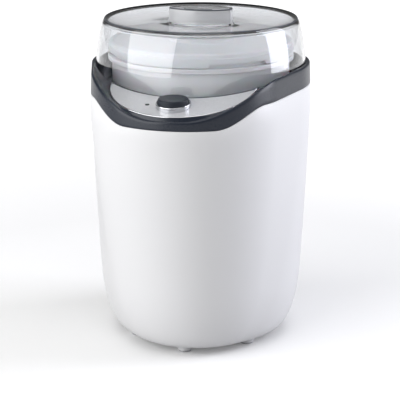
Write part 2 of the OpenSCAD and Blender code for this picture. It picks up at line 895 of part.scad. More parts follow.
module insulation_sleeve() {
    color([0.85, 0.82, 0.7])
    on_axis(insulation_foot)
        difference() {
            cylinder(r = insulation_outer, h = web_bottom - 12 - insulation_foot, $fn = 180);
            translate([0, 0, -over])
                cylinder(r = insulation_inner, h = web_bottom, $fn = 180);
            translate([-lead_slot, -insulation_outer - over, -over])
                cube([2 * lead_slot, insulation_outer, heater_foot + heater_width - insulation_foot + 4]);
        }
}

module thermostat() {
    color([0.6, 0.58, 0.52])
    on_axis(well_bottom - thermostat_height)
        cylinder(r = 8, h = thermostat_height, $fn = 64);
}

module thermostat_clip() {
    color([0.7, 0.7, 0.72])
    difference() {
        on_axis(well_bottom - thermostat_height - clip_thickness)
            translate([-stud_gap - 4, -4, 0])
                cube([2 * stud_gap + 8, 8, clip_thickness]);
        at_studs(well_bottom - thermostat_height - clip_thickness - over)
            cylinder(r = stud_radius + 0.1, h = clip_thickness + 2 * over, $fn = 32);
    }
}

module clip_nuts() {
    color([0.75, 0.75, 0.77])
    at_studs(well_bottom - thermostat_height - clip_thickness - 2.2)
        difference() {
            cylinder(r = 3.6, h = 2.2, $fn = 6);
            translate([0, 0, -over])
                cylinder(r = stud_radius + 0.05, h = 2.2 + 2 * over, $fn = 32);
        }
}

fuse_reach = 26;
fuse_radius = 2;

module thermal_fuse() {
    color([0.85, 0.84, 0.8])
    translate([-8, axis_y + fuse_reach, well_bottom - fuse_radius - 0.05])
        rotate([0, 90, 0])
            cylinder(r = fuse_radius, h = 16, $fn = 32);
}

module fuse_clip() {
    color([0.7, 0.7, 0.72])
    difference() {
        translate([-3, axis_y + fuse_reach - 6, well_bottom - 2 * fuse_radius - 1.3])
            cube([6, 12, 2 * fuse_radius + 1.3]);
        translate([-3 - over, axis_y + fuse_reach - fuse_radius - 0.1, well_bottom - fuse_radius])
            cube([6 + 2 * over, 2 * fuse_radius + 0.2, fuse_radius + over]);
        translate([-3 - over, axis_y + fuse_reach, well_bottom - fuse_radius - 0.05])
            rotate([0, 90, 0])
                cylinder(r = fuse_radius + 0.1, h = 6 + 2 * over, $fn = 32);
    }
}

// ---------- Mains inlet and leads ----------

module terminal_block() {
    color([0.9, 0.9, 0.86])
    translate([-block_size[0] / 2, axis_y + block_reach, base_top])
        difference() {
            cube(block_size);
            for (x = [-1, 1])
                translate([block_size[0] / 2 + x * 6, 6, 4.5])
                    rotate([-90, 0, 0])
                        cylinder(r = 2, h = block_size[1], $fn = 32);
        }
}

// A bent lead: straight runs between points, with a ball at each bend
module lead(route) {
    for (i = [0:len(route) - 2]) {
        step = route[i + 1] - route[i];
        length = norm(step);
        translate(route[i])
            rotate([0, acos(step[2] / length), atan2(step[1], step[0])])
                cylinder(r = lead_radius, h = length, $fn = 24);
    }
    for (i = [1:len(route) - 2])
        translate(route[i])
            sphere(r = lead_radius, $fn = 24);
}

lead_side = 9;
under_reach = 48;
front_lead_reach = insulation_outer + 4.5;
low_lead = base_top + 4.5;
high_lead = well_bottom - 2.6;
board_foot = control_board_top - board_thickness;

module mains_leads() {
    color([0.35, 0.2, 0.12])
    for (side = [-1, 1])
        lead([[side * lead_side, axis_y + block_reach, low_lead],
            [side * lead_side, axis_y - under_reach, low_lead],
            [side * lead_side, axis_y - under_reach, high_lead],
            [side * lead_side, axis_y - front_lead_reach, high_lead],
            [side * lead_side, axis_y - front_lead_reach, board_foot]]);
}

module heater_leads() {
    color([0.8, 0.8, 0.78])
    for (side = [-1, 1])
        lead([[side * 4, axis_y - heater_outer, heater_foot + heater_width - 6],
            [side * 4, axis_y - front_lead_reach, heater_foot + heater_width - 6],
            [side * 4, axis_y - front_lead_reach, board_foot]]);
}

module cord_gland() {
    color([0.16, 0.17, 0.19])
    translate([0, axis_y + gland_end, gland_height])
        rotate([90, 0, 0])
            difference() {
                union() {
                    cylinder(r = gland_bore + 1.8, h = gland_nozzle + over, $fn = 64);
                    translate([0, 0, gland_nozzle])
                        cylinder(r = gland_bore + 4.4, h = gland_flange, $fn = 64);
                    translate([0, 0, gland_nozzle])
                        cylinder(r = gland_bore + 2.4, h = gland_length - gland_nozzle, $fn = 64);
                }
                translate([0, 0, -over])
                    cylinder(r = gland_bore, h = gland_length + 2 * over, $fn = 64);
            }
}

module cord_clamp() {
    color([0.2, 0.2, 0.22])
    translate([0, axis_y + clamp_reach, base_top + clamp_post_height])
        difference() {
            translate([-clamp_post_gap - 4, -4, 0])
                cube([2 * clamp_post_gap + 8, 8, 3.6]);
            for (side = [-1, 1])
                translate([side * clamp_post_gap, 0, -over])
                    cylinder(r = screw_radius - 0.05, h = 3.6 + 2 * over, $fn = 32);
            translate([0, -4 - over, -gland_bore + 1.2])
                rotate([-90, 0, 0])
                    cylinder(r = gland_bore, h = 8 + 2 * over, $fn = 48);
        }
}

module clamp_screws() {
    color([0.7, 0.7, 0.72])
    for (side = [-1, 1])
        translate([side * clamp_post_gap, axis_y + clamp_reach, base_top + clamp_post_height + 3.6])
            rotate([180, 0, 0])
                screw(10, screw_radius - 0.2, 2.6, 1.4);
}

// ---------- Vessel, its lid and the outer cover ----------

neck_radius = vessel_radius - 0.8;
lug_count = 4;
lug_height = 1.8;
lug_span = 30;
// The first lug of the lock lies in this direction
lock_facing = 35;
lid_lug_span = 22;
notch_height = 2.4;
lug_foot = mouth_height - 2.6;
lid_inner = neck_radius + lug_width + lock_clearance;
lid_outer = lid_inner + lid_skirt_wall;
lid_foot = neck_foot + 0.4;
gasket_gap = 0.2;
gasket_thickness = 1.4;
plate_foot = mouth_height + gasket_thickness + 2 * gasket_gap;
plate_thickness = 1.6;
lid_top = plate_foot + plate_thickness;
lid_lug_height = 1.6;

// A lug of a ring that spans a given angle, in the middle of direction a
module ring_lug(inner, outer, height, span, a) {
    rotate([0, 0, a - span / 2])
        rotate_extrude(angle = span, $fn = 180)
            translate([inner, 0])
                square([outer - inner, height]);
}

module vessel() {
    color([0.9, 0.9, 0.91])
    on_axis()
        union() {
            rotate_extrude($fn = 180)
                polygon(concat([[0, vessel_foot]],
                    arc(vessel_radius - 8, vessel_foot + 8, 8, -90, 0),
                    [[vessel_radius, bead_foot], [vessel_radius + bead_width, bead_foot + 0.4],
                        [vessel_radius + bead_width, neck_foot], [neck_radius, neck_foot],
                        [neck_radius, mouth_height], [neck_radius - vessel_wall, mouth_height]],
                    arc(vessel_radius - vessel_wall - 7, vessel_foot + vessel_wall + 7, 7, 0, -90),
                    [[0, vessel_foot + vessel_wall]]));
            for (i = [0:lug_count - 1])
                translate([0, 0, lug_foot])
                    ring_lug(neck_radius - 0.6, neck_radius + lug_width, lug_height, lug_span,
                        lock_facing + i * 360 / lug_count);
        }
}

module lid_gasket() {
    color([0.85, 0.86, 0.87])
    on_axis(mouth_height + gasket_gap)
        difference() {
            cylinder(r = neck_radius - 0.2, h = gasket_thickness, $fn = 180);
            translate([0, 0, -over])
                cylinder(r = neck_radius - vessel_wall - 0.6, h = gasket_thickness + 2 * over, $fn = 180);
        }
}

notch_span = 37;

module vessel_lid() {
    color([0.88, 0.88, 0.9])
    on_axis()
        difference() {
            union() {
                rotate_extrude($fn = 180)
                    polygon([[0, plate_foot], [lid_inner, plate_foot], [lid_inner, lid_foot],
                        [lid_outer, lid_foot], [lid_outer, lid_top - 2.4], [lid_outer - 0.8, lid_top - 2.4],
                        [lid_outer - 0.8, lid_top], [lid_outer - 2, lid_top + 0.8],
                        [lid_outer - 3.4, lid_top + 0.8], [lid_outer - 4.4, lid_top],
                        [grip_radius, lid_top], [grip_radius - 0.6, lid_top + grip_height],
                        [grip_radius - 2.4, lid_top + grip_height], [grip_radius - 3, lid_top],
                        [0, lid_top]]);
                for (i = [0:lug_count - 1])
                    translate([0, 0, lid_foot])
                        ring_lug(neck_radius + lock_clearance, lid_inner + 0.6, lid_lug_height,
                            lid_lug_span, lock_facing + (i + 0.5) * 360 / lug_count);
            }
            for (i = [0:lug_count - 1])
                translate([0, 0, lid_foot - over])
                    ring_lug(lid_inner - 0.1, lid_outer + 1, notch_height + over, notch_span,
                        lock_facing + i * 360 / lug_count);
        }
}

// The cover's side bows in towards its top edge: each pair is a share of the radius and of the height
cover_top = lid_top + grip_height + cover_headroom + cover_wall + dish_depth;
cover_height = cover_top - cover_foot;
knob_top = cover_top + knob_rise;
knob_foot = cover_top - dish_depth;
bow_depth = cover_radius - cover_top_radius;
cover_bow = [[0, 0], [0, 0.36], [0.04, 0.46], [0.12, 0.56], [0.25, 0.67], [0.41, 0.776], [0.525, 0.84],
    [0.645, 0.9], [0.735, 0.942], [0.86, 0.975], [1, 1]];
function cover_side(inset) =
    [for (p = cover_bow) [cover_radius - inset - bow_depth * p[0], cover_foot + cover_height * p[1]]];

// A bar with a bulging front and back, inset from the knob's own sides
module knob_bar(inset, low, high) {
    translate([0, 0, low])
        intersection() {
            translate([0, knob_round - knob_depth / 2, 0])
                cylinder(r = knob_round - inset, h = high - low, $fn = 180);
            translate([0, knob_depth / 2 - knob_round, 0])
                cylinder(r = knob_round - inset, h = high - low, $fn = 180);
            translate([inset - knob_width / 2, -knob_depth, -over])
                cube([knob_width - 2 * inset, 2 * knob_depth, high - low + 2 * over]);
        }
}

module cover_bowl() {
    rotate_extrude($fn = 180)
        polygon(concat(
            cover_side(0),
            [[cover_top_radius - 3, cover_top - 1.4], [cover_top_radius - 14, cover_top - 0.75 * dish_depth],
                [knob_width / 2 + 3, knob_foot], [0, knob_foot], [0, knob_foot - cover_wall],
                [knob_width / 2 + 3, knob_foot - cover_wall],
                [cover_top_radius - 14, cover_top - 0.75 * dish_depth - cover_wall],
                [cover_top_radius - 3, cover_top - 1.4 - cover_wall]],
            [for (i = [len(cover_bow) - 2:-1:0])
                [cover_side(cover_wall)[i][0], cover_side(0)[i][1] - (i > 5 ? 1 : 0)]]));
}

module outer_cover() {
    color([0.85, 0.88, 0.9, 0.35])
    on_axis()
        difference() {
            union() {
                cover_bowl();
                knob_bar(0, knob_foot - cover_wall / 2, knob_top - 1);
                knob_bar(0.7, knob_top - 1.5, knob_top);
            }
            knob_bar(cover_wall, knob_foot - cover_wall - over, knob_top - cover_wall);
            translate([0, 0, knob_top - cover_wall - over])
                cylinder(r = vent_radius, h = cover_wall + 2 * over, $fn = 48);
        }
}

outer_casing();
base_plate();
feet();
foot_pads();
base_screws();
collar();
collar_screws();
control_panel();
panel_trim();
button_bezel();
button_cap();
push_switch();
indicator_lens();
indicator_led();
panel_board();
panel_board_screws();
control_board();
board_relay();
board_capacitor();
control_board_screws();
heating_well();
well_screws();
heater_band();
heater_clamp();
insulation_sleeve();
thermostat();
thermostat_clip();
clip_nuts();
thermal_fuse();
fuse_clip();
terminal_block();
mains_leads();
heater_leads();
cord_gland();
cord_clamp();
clamp_screws();
vessel();
lid_gasket();
vessel_lid();
outer_cover();
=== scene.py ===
"""Looks of a single-vessel yogurt maker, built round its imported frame.

The finishes come first and the mesh helpers next. Every class after them stands for one sub-assembly:
it holds the sizes of its pieces in millimetres, builds them in the frame's own coordinates and
dresses them in their finishes.
"""

import sys
import logging
import math
from dataclasses import dataclass, field, replace
from enum import Enum
from functools import cache
from typing import ClassVar, Sequence

import bmesh
import bpy
import numpy as np
from mathutils import Euler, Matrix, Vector


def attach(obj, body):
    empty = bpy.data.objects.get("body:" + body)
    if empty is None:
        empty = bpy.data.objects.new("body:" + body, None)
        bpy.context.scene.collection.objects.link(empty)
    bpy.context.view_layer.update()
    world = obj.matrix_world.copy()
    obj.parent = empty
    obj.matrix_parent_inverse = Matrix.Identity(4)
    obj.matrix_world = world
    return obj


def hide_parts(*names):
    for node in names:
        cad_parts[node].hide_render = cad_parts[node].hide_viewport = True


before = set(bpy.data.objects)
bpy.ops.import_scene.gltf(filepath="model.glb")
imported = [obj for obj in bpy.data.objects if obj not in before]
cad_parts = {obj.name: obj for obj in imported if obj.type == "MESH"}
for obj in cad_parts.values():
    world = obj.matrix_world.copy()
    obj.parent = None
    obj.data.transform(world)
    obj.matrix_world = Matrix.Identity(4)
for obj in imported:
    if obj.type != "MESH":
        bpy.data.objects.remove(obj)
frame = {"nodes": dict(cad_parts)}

LOG = logging.getLogger("yogurt_maker")
Node = bpy.types.Node
Socket = bpy.types.NodeSocket
Tree = bpy.types.NodeTree
Piece = bpy.types.Object
Heights = np.ndarray | float
Point = tuple[float, float, float]
Profile = list[tuple[float, float]]

MM = 0.001
# Points closer than this many metres become one.
WELD = 2e-6
# A rounded corner takes at most this share of each of its sides.
CORNER_SHARE = 0.48
# Where the vessel's upright axis crosses the frame's XY plane, in millimetres.
AXIS = (0.0, 15.0)


# ---- colour and node helpers


def linear(code: str) -> tuple[float, float, float, float]:
    """Turns an sRGB hex colour to linear values.

    Args:
        code: Colour as #RRGGBB.

    Returns:
        Linear red, green, blue and an alpha of 1.
    """
    shares = [int(code[i : i + 2], 16) / 255 for i in (1, 3, 5)]
    turned = [s / 12.92 if s <= 0.04045 else ((s + 0.055) / 1.055) ** 2.4 for s in shares]
    return (turned[0], turned[1], turned[2], 1.0)


def add_node(
    tree: Tree, kind: str, inputs: dict[str | int, object] | None = None, **settings: object
) -> Node:
    """Adds a node with its settings and inputs.

    Args:
        tree: Node tree that gets the node.
        kind: Type name of the node.
        inputs: What each input gets: a value, a socket, or a node whose first output feeds it.
        settings: Attributes of the node itself.

    Returns:
        The new node.
    """
    node = tree.nodes.new(kind)
    for name, value in settings.items():
        setattr(node, name, value)
    for key, value in (inputs or {}).items():
        source = value.outputs[0] if isinstance(value, Node) else value
        if isinstance(source, Socket):
            tree.links.new(source, node.inputs[key])
        else:
            node.inputs[key].default_value = source
    return node


def maths(tree: Tree, how: str, *terms: Node | Socket | float) -> Node:
    """Adds one operation, named how, on two or three numbers or what feeds them."""
    return add_node(tree, "ShaderNodeMath", dict(enumerate(terms)), operation=how)


def ranged(tree: Tree, level: Node | Socket, ends: Sequence[float], given: Sequence[float] = (0, 1)) -> Node:
    """Adds a change of range, from the given levels to the ends."""
    inputs = {"Value": level, "From Min": given[0], "From Max": given[1]}
    return add_node(tree, "ShaderNodeMapRange", inputs | {"To Min": ends[0], "To Max": ends[1]})


def mixed(tree: Tree, share: Node | Socket, first: object, second: object) -> Socket:
    """Adds a mix of two colours, or of what feeds them, with that share of the second one."""
    return add_node(tree, "ShaderNodeMix", {0: share, 6: first, 7: second}, data_type="RGBA").outputs[2]


def per_mm(size: float) -> float:
    """Scale of a procedural pattern whose features are that many millimetres across."""
    return 1.0 / (size * MM)


def emptied(block: bpy.types.Material | bpy.types.World) -> Tree:
    """Turns on the nodes of a material or a world and clears them away.

    Args:
        block: The material or the world.

    Returns:
        Its empty tree.
    """
    block.use_nodes = True
    block.node_tree.nodes.clear()
    return block.node_tree


# ---- finishes


class Grain(Enum):
    """How the grain of a surface is stretched along X, Y and Z."""

    EVEN = (1.0, 1.0, 1.0)
    BRUSHED = (0.02, 1.0, 1.0)


@dataclass
class SurfaceTree:
    """A new material with one shader, whose patterns lie in the object's own coordinates.

    Args:
        name: Name of the material.
    """

    name: str
    made: bpy.types.Material = field(init=False)
    tree: Tree = field(init=False)
    shader: Node = field(init=False)
    output: Node = field(init=False)
    coords: Socket = field(init=False)

    def __post_init__(self) -> None:
        """Makes the material, its shader and its coordinates."""
        self.made = bpy.data.materials.new(self.name)
        self.tree = emptied(self.made)
        self.shader = add_node(self.tree, "ShaderNodeBsdfPrincipled")
        self.output = add_node(self.tree, "ShaderNodeOutputMaterial", {"Surface": self.shader})
        self.coords = add_node(self.tree, "ShaderNodeTexCoord").outputs["Object"]

    def set(self, values: dict[str, object]) -> None:
        """Sets plain values on the shader, by input name."""
        for name, value in values.items():
            self.shader.inputs[name].default_value = value

    def noise(self, size: float, detail: float = 3, along: Node | None = None) -> Node:
        """Adds an even noise whose features have that size in millimetres, along coordinates if given."""
        inputs = {"Vector": along or self.coords, "Scale": per_mm(size), "Detail": detail, "Roughness": 0.55}
        return add_node(self.tree, "ShaderNodeTexNoise", inputs)

    def feed(self, name: str, source: Node | Socket) -> None:
        """Feeds one of the shader's inputs from a socket, or from a node's first output."""
        socket = source.outputs[0] if isinstance(source, Node) else source
        self.tree.links.new(socket, self.shader.inputs[name])

    def drift(self, share: Node | Socket, first: str, second: str) -> None:
        """Varies the shader's colour from the first to the second, both as sRGB hex."""
        self.feed("Base Color", mixed(self.tree, share, linear(first), linear(second)))

    def gloss(self, level: Node | Socket, low: float, high: float) -> None:
        """Varies the shader's roughness from low to high with a pattern from 0 to 1."""
        self.feed("Roughness", ranged(self.tree, level, (low, high)))

    def bump(self, height: Node | Socket, strength: float, depth: float) -> None:
        """Dents the surface with a pattern from 0 to 1, to a depth in millimetres."""
        inputs = {"Height": height, "Strength": strength, "Distance": depth * MM}
        self.feed("Normal", add_node(self.tree, "ShaderNodeBump", inputs))


@dataclass(frozen=True)
class Finish:
    """A finish that every surface has: colour that drifts a little, and grain in its gloss.

    Args:
        name: Common name of the material.
        colour: Main colour, as sRGB hex.
        drift: Colour that it drifts towards, as sRGB hex.
        roughness: Typical roughness.
        metallic: 1 for bare metal, less for paint with metal flakes and 0 for everything else.
        grain: How its grain is stretched.
        grain_mm: Size of the grain.
        bump_mm: Depth of the grain.
        drift_mm: Size of the patches of colour.
        coat: Weight of a clear top layer.
        subsurface: Share of light that scatters inside.
        sheen: Weight of the soft glow of loose fibres.
        ior: How strongly it bends light, which also sets how much it mirrors.
    """

    name: str
    colour: str
    drift: str
    roughness: float = 0.4
    metallic: float = 0.0
    grain: Grain = Grain.EVEN
    grain_mm: float = 0.5
    bump_mm: float = 0.01
    drift_mm: float = 30.0
    coat: float = 0.0
    subsurface: float = 0.0
    sheen: float = 0.0
    ior: float = 1.5
    gloss_swing: ClassVar[float] = 0.05
    bump_strength: ClassVar[float] = 0.6
    coat_roughness: ClassVar[float] = 0.12
    scatter_m: ClassVar[float] = 0.004
    sheen_roughness: ClassVar[float] = 0.5

    def dress(self, nodes: SurfaceTree) -> None:
        """Adds the drift of colour, the change of gloss and the bump of the grain.

        Args:
            nodes: The material's nodes.
        """
        nodes.drift(nodes.noise(self.drift_mm), self.colour, self.drift)
        inputs = {"Vector": nodes.coords, "Scale": self.grain.value}
        fine = nodes.noise(self.grain_mm, 2, add_node(nodes.tree, "ShaderNodeMapping", inputs))
        nodes.gloss(fine, self.roughness - self.gloss_swing, self.roughness + self.gloss_swing)
        if self.bump_mm:
            nodes.bump(fine, self.bump_strength, self.bump_mm)

    def material(self) -> bpy.types.Material:
        """Builds the whole material.

        Returns:
            The finished material.
        """
        nodes = SurfaceTree(self.name)
        nodes.set({"Base Color": linear(self.colour), "Metallic": self.metallic, "Roughness": self.roughness})
        if self.metallic < 0.5:
            nodes.set({"IOR": self.ior})
        if self.coat:
            nodes.set({"Coat Weight": self.coat, "Coat Roughness": self.coat_roughness})
        if self.subsurface:
            nodes.set({"Subsurface Weight": self.subsurface, "Subsurface Scale": self.scatter_m})
        if self.sheen:
            nodes.set({"Sheen Weight": self.sheen, "Sheen Roughness": self.sheen_roughness})
        self.dress(nodes)
        return nodes.made


@dataclass(frozen=True)
class ClearPlastic(Finish):
    """Clear moulded plastic, which bends light and has faint flow lines.

    Args:
        clarity: Share of light that passes instead of scattering.
        haze_per_m: How much light the plastic soaks up on its way, per metre.
    """

    clarity: float = 1.0
    haze_per_m: float = 16.0
    gloss_swing: ClassVar[float] = 0.03
    bump_strength: ClassVar[float] = 0.15

    def dress(self, nodes: SurfaceTree) -> None:
        """Lets light through, greyer where the way is long, with a faint waviness from the melt's flow.

        Args:
            nodes: The material's nodes.
        """
        nodes.set({"Transmission Weight": self.clarity})
        inputs = {"Color": (0, 0, 0, 1), "Density": self.haze_per_m}
        haze = add_node(nodes.tree, "ShaderNodeVolumeAbsorption", inputs)
        nodes.tree.links.new(haze.outputs[0], nodes.output.inputs["Volume"])
        nodes.gloss(nodes.noise(self.drift_mm), self.roughness, self.roughness + self.gloss_swing)
        nodes.bump(nodes.noise(self.grain_mm, 1), self.bump_strength, self.bump_mm)


@dataclass(frozen=True)
class FlakePaint(Finish):
    """Silver paint: small flat flakes in a clear binder."""

    flake_mm: float = 0.5
    gloss_swing: ClassVar[float] = 0.08
    bump_strength: ClassVar[float] = 0.2

    def dress(self, nodes: SurfaceTree) -> None:
        """Adds flakes that catch the light one by one.

        Args:
            nodes: The material's nodes.
        """
        inputs = {"Vector": nodes.coords, "Scale": per_mm(self.flake_mm)}
        flakes = add_node(nodes.tree, "ShaderNodeTexVoronoi", inputs).outputs["Color"]
        shade, shine, height = add_node(nodes.tree, "ShaderNodeSeparateColor", {0: flakes}).outputs
        nodes.drift(shade, self.colour, self.drift)
        nodes.gloss(shine, self.roughness - self.gloss_swing, self.roughness + self.gloss_swing)
        nodes.bump(height, self.bump_strength, self.bump_mm)


@dataclass(frozen=True)
class BoardLaminate(Finish):
    """Green solder lacquer over copper tracks on a glass-fibre board."""

    track_mm: float = 1.6
    bump_strength: ClassVar[float] = 0.5

    def dress(self, nodes: SurfaceTree) -> None:
        """Adds the raised tracks that show through the lacquer.

        Args:
            nodes: The material's nodes.
        """
        inputs = {
            "Vector": nodes.coords,
            "Color1": linear(self.colour),
            "Color2": linear(self.colour),
            "Mortar": linear(self.drift),
            "Scale": per_mm(4 * self.track_mm),
            "Mortar Size": 0.05,
        }
        tracks = add_node(nodes.tree, "ShaderNodeTexBrick", inputs).outputs
        nodes.feed("Base Color", tracks["Color"])
        nodes.bump(tracks["Fac"], self.bump_strength, self.bump_mm)


@cache
def dressed(finish: Finish) -> bpy.types.Material:
    """The one material of a finish, made the first time that it is asked for."""
    return finish.material()


# Injection-moulded ABS from a sparked mould: a soft satin white with wide, weak highlights.
# Its real texture is about 0.1 mm, drawn at 0.4 mm so that it shows at all.
BODY_ABS = Finish("white_satin_abs", "#F0F0F1", "#EDEDEF", 0.36, grain_mm=0.4, bump_mm=0.004, drift_mm=60)
# The same plastic from a plainer mould, for the base plate: duller and a little greyer.
BASE_ABS = Finish("white_matt_abs", "#E2E2E4", "#D9D9DC", 0.55, grain_mm=0.6, bump_mm=0.012)
# Glossier white ABS of the feet, scuffed a little greyer.
FOOT_ABS = Finish("white_foot_abs", "#E6E6E8", "#DDDDE0", 0.42)
# Thermoplastic rubber pads under the feet: matt, and marked by what they stood on.
PAD_RUBBER = Finish("grey_pad_rubber", "#BBBCBF", "#A7A8AC", 0.8, grain_mm=0.8, bump_mm=0.03, drift_mm=4)
# Slate ABS from a fine mould: a blue-grey satin that picks up the lamps along its edges.
SLATE_ABS = Finish(
    "slate_satin_abs", "#1E2430", "#232935", 0.28, grain_mm=0.4, bump_mm=0.003, drift_mm=40, ior=1.44
)
# The button's cap is the same plastic with a duller, finger-worn top.
CAP_ABS = Finish(
    "slate_button_abs", "#191F29", "#1E242E", 0.45, grain_mm=0.3, bump_mm=0.004, drift_mm=12, ior=1.4
)
# Silver lacquer on the control panel: a third metallic, with flakes drawn at 0.5 mm.
PANEL_PAINT = FlakePaint("silver_flake_lacquer", "#C6C7CA", "#D4D5D8", 0.42, metallic=0.35)
# Chromed plastic trim: a mirror with a very faint orange-peel.
TRIM_CHROME = Finish(
    "chromed_abs", "#D9DADD", "#CFD0D4", 0.1, metallic=1.0, grain_mm=3, bump_mm=0.004, drift_mm=10
)
# Polished smoked lens: black, with sharp highlights. The LED's epoxy is as glossy, but red.
LENS_BLACK = Finish("smoked_acrylic", "#1B1B1F", "#232328", 0.12, grain_mm=1, bump_mm=0)
LED_EPOXY = Finish("red_led_epoxy", "#B03028", "#C2483C", 0.15, grain_mm=1, bump_mm=0)
# Moulded nylon of the switch: a dull black with a fine grain.
SWITCH_NYLON = Finish("black_nylon", "#26262A", "#2E2E33", 0.5, grain_mm=0.4, drift_mm=6)
# Solder lacquer: glossy green, with the copper tracks paler and raised under it.
BOARD_GREEN = BoardLaminate("green_board_laminate", "#1F5A33", "#3C7A45", 0.3, bump_mm=0.03, coat=0.4)
# Polyester of the relay's case: a plain saturated blue, half glossy.
RELAY_BLUE = Finish("blue_relay_pbt", "#1E3F86", "#24488F", 0.35, drift_mm=8)
# Zinc-plated screws: bright grey with warmer, passivated patches.
SCREW_ZINC = Finish("zinc_plated_steel", "#B9BBC0", "#A9A79C", 0.32, 1.0, bump_mm=0.004, drift_mm=2)
# Deep-drawn aluminium well: a fine grain over a bright, slightly cloudy grey.
WELL_ALUMINIUM = Finish(
    "drawn_aluminium", "#C9CACC", "#BDBEC1", 0.3, metallic=1.0, grain_mm=0.7, bump_mm=0.006, drift_mm=25
)
# Silicone of the heater band: matt rust red, with the weave of its glass cloth just felt.
HEATER_SILICONE = Finish("rust_silicone", "#9A4A2C", "#8C4026", 0.6, grain_mm=1.2, bump_mm=0.05, drift_mm=10)
# Cold-rolled spring steel: a grey mirror drawn out by long, thin lines.
SPRING_STEEL = Finish(
    "brushed_spring_steel", "#B4B6BA", "#A6A8AC", 0.28, 1.0, Grain.BRUSHED, 0.3, bump_mm=0.004, drift_mm=6
)
# Needled glass-wool felt: matt and hairy, with clumps a few millimetres across.
FELT = Finish("needled_felt", "#D8D2BE", "#C6BFA8", 0.95, grain_mm=0.9, bump_mm=0.25, drift_mm=7, sheen=0.4)
# Glazed ceramic: warm white, smooth and a little glassy.
CERAMIC = Finish("glazed_steatite", "#E4E1D6", "#D9D5C7", 0.35, grain_mm=0.8, drift_mm=5)
# Soft PVC of the leads and the gland: even colour and a waxy half gloss.
LEAD_BROWN = Finish("brown_lead_pvc", "#5A3824", "#64402A", 0.42, drift_mm=10)
LEAD_WHITE = Finish("white_lead_pvc", "#DAD9D4", "#CFCEC8", 0.42, drift_mm=10)
GLAND_PVC = Finish("black_gland_pvc", "#26272B", "#2E2F34", 0.5, grain_mm=0.6, bump_mm=0.02, drift_mm=8)
# Natural polypropylene of the vessel and its lid: milky, soft-edged and slightly waxy.
VESSEL_PP = Finish("milky_polypropylene", "#F1F1F3", "#ECECEF", 0.34, grain_mm=1.0, subsurface=0.15)
# Food silicone of the gasket: a matt, slightly grey white.
GASKET_SILICONE = Finish("white_silicone", "#DADBDD", "#CFD0D3", 0.6, grain_mm=0.8, bump_mm=0.02, drift_mm=10)
# Clear styrene-acrylonitrile: glassy, with a grey cast and faint flow lines.
COVER_SAN = ClearPlastic("clear_san", "#F1F2F4", "#F1F2F4", 0.0, grain_mm=14, bump_mm=0.02)
# Painted light: the knob's thick walls are seen edge on, so a paler, half-opaque copy of the clear plastic
# paints the milky glow that they show.
PAINTED_GLOW_KNOB_SAN = replace(
    COVER_SAN,
    name="clear_san_painted_glow_wall",
    colour="#F0F1F4",
    drift="#F0F1F4",
    roughness=0.08,
    clarity=0.5,
    haze_per_m=2.0,
)
# Painted shade: a narrow edge of clear plastic gathers no light from behind, so an opaque grey stands in for
# the dark line that it shows.
PAINTED_DARK_EDGE_SAN = Finish("clear_san_painted_dark_edge", "#54575D", "#4C4F55", 0.2, grain_mm=6, bump_mm=0.005)


# ---- mesh helpers


def rounded(corners: Sequence[Point], steps: int) -> Profile:
    """Rounds the corners of a closed profile.

    Args:
        corners: Radius, height and corner radius of each corner.
        steps: Number of straight pieces in each rounded corner.

    Returns:
        Points of the rounded profile.
    """
    points = [np.array(c[:2], float) for c in corners]
    made: Profile = []
    for i, (here, (r, z, size)) in enumerate(zip(points, corners)):
        if size <= 0:
            made.append((float(r), float(z)))
            continue
        before, after = points[i - 1] - here, points[(i + 1) % len(points)] - here
        reach_a, reach_b = np.linalg.norm(before), np.linalg.norm(after)
        u, v = before / reach_a, after / reach_b
        half = math.acos(max(-1.0, min(1.0, float(u @ v)))) / 2
        if half > math.pi / 2 - 0.01:
            made.append((float(r), float(z)))
            continue
        run = min(size / math.tan(half), CORNER_SHARE * reach_a, CORNER_SHARE * reach_b)
        middle = here + (u + v) / np.linalg.norm(u + v) * (run * math.tan(half)) / math.sin(half)
        start, end = here + u * run - middle, here + v * run - middle
        turn = math.atan2(start[0] * end[1] - start[1] * end[0], float(start @ end))
        for a in (turn * k / steps for k in range(steps + 1)):
            across = middle[0] + start[0] * math.cos(a) - start[1] * math.sin(a)
            up = middle[1] + start[0] * math.sin(a) + start[1] * math.cos(a)
            made.append((float(across), float(up)))
    return made


def show(name: str, data: bpy.types.ID) -> Piece:
    """Puts a new object in the scene.

    Args:
        name: Name of the object.
        data: Its mesh, lamp or camera.

    Returns:
        The new object.
    """
    made = bpy.data.objects.new(name, data)
    bpy.context.scene.collection.objects.link(made)
    return made


def raw_mesh(
    name: str, points: Sequence[Point] | np.ndarray, faces: Sequence[Sequence[int]] = ()
) -> bpy.types.Mesh:
    """Makes a mesh from points.

    Args:
        name: Name of the mesh.
        points: Its points, in millimetres.
        faces: Its faces, as numbers of points.

    Returns:
        The new mesh.
    """
    mesh = bpy.data.meshes.new(name)
    mesh.from_pydata((np.asarray(points, float) * MM).tolist(), [], [list(f) for f in faces])
    return mesh


def settled(name: str, mesh: bpy.types.Mesh, sharp: float) -> Piece:
    """Welds a mesh, turns its faces outwards, smooths it and puts it in the scene.

    Args:
        name: Name of the piece.
        mesh: Its mesh.
        sharp: Edges steeper than this many degrees stay crisp.

    Returns:
        The new object.
    """
    body = bmesh.new()
    body.from_mesh(mesh)
    bmesh.ops.remove_doubles(body, verts=body.verts, dist=WELD)
    bmesh.ops.dissolve_degenerate(body, edges=body.edges, dist=WELD / 2)
    bmesh.ops.recalc_face_normals(body, faces=body.faces)
    body.to_mesh(mesh)
    body.free()
    mesh.shade_smooth()
    mesh.set_sharp_from_angle(angle=math.radians(sharp))
    return show(name, mesh)


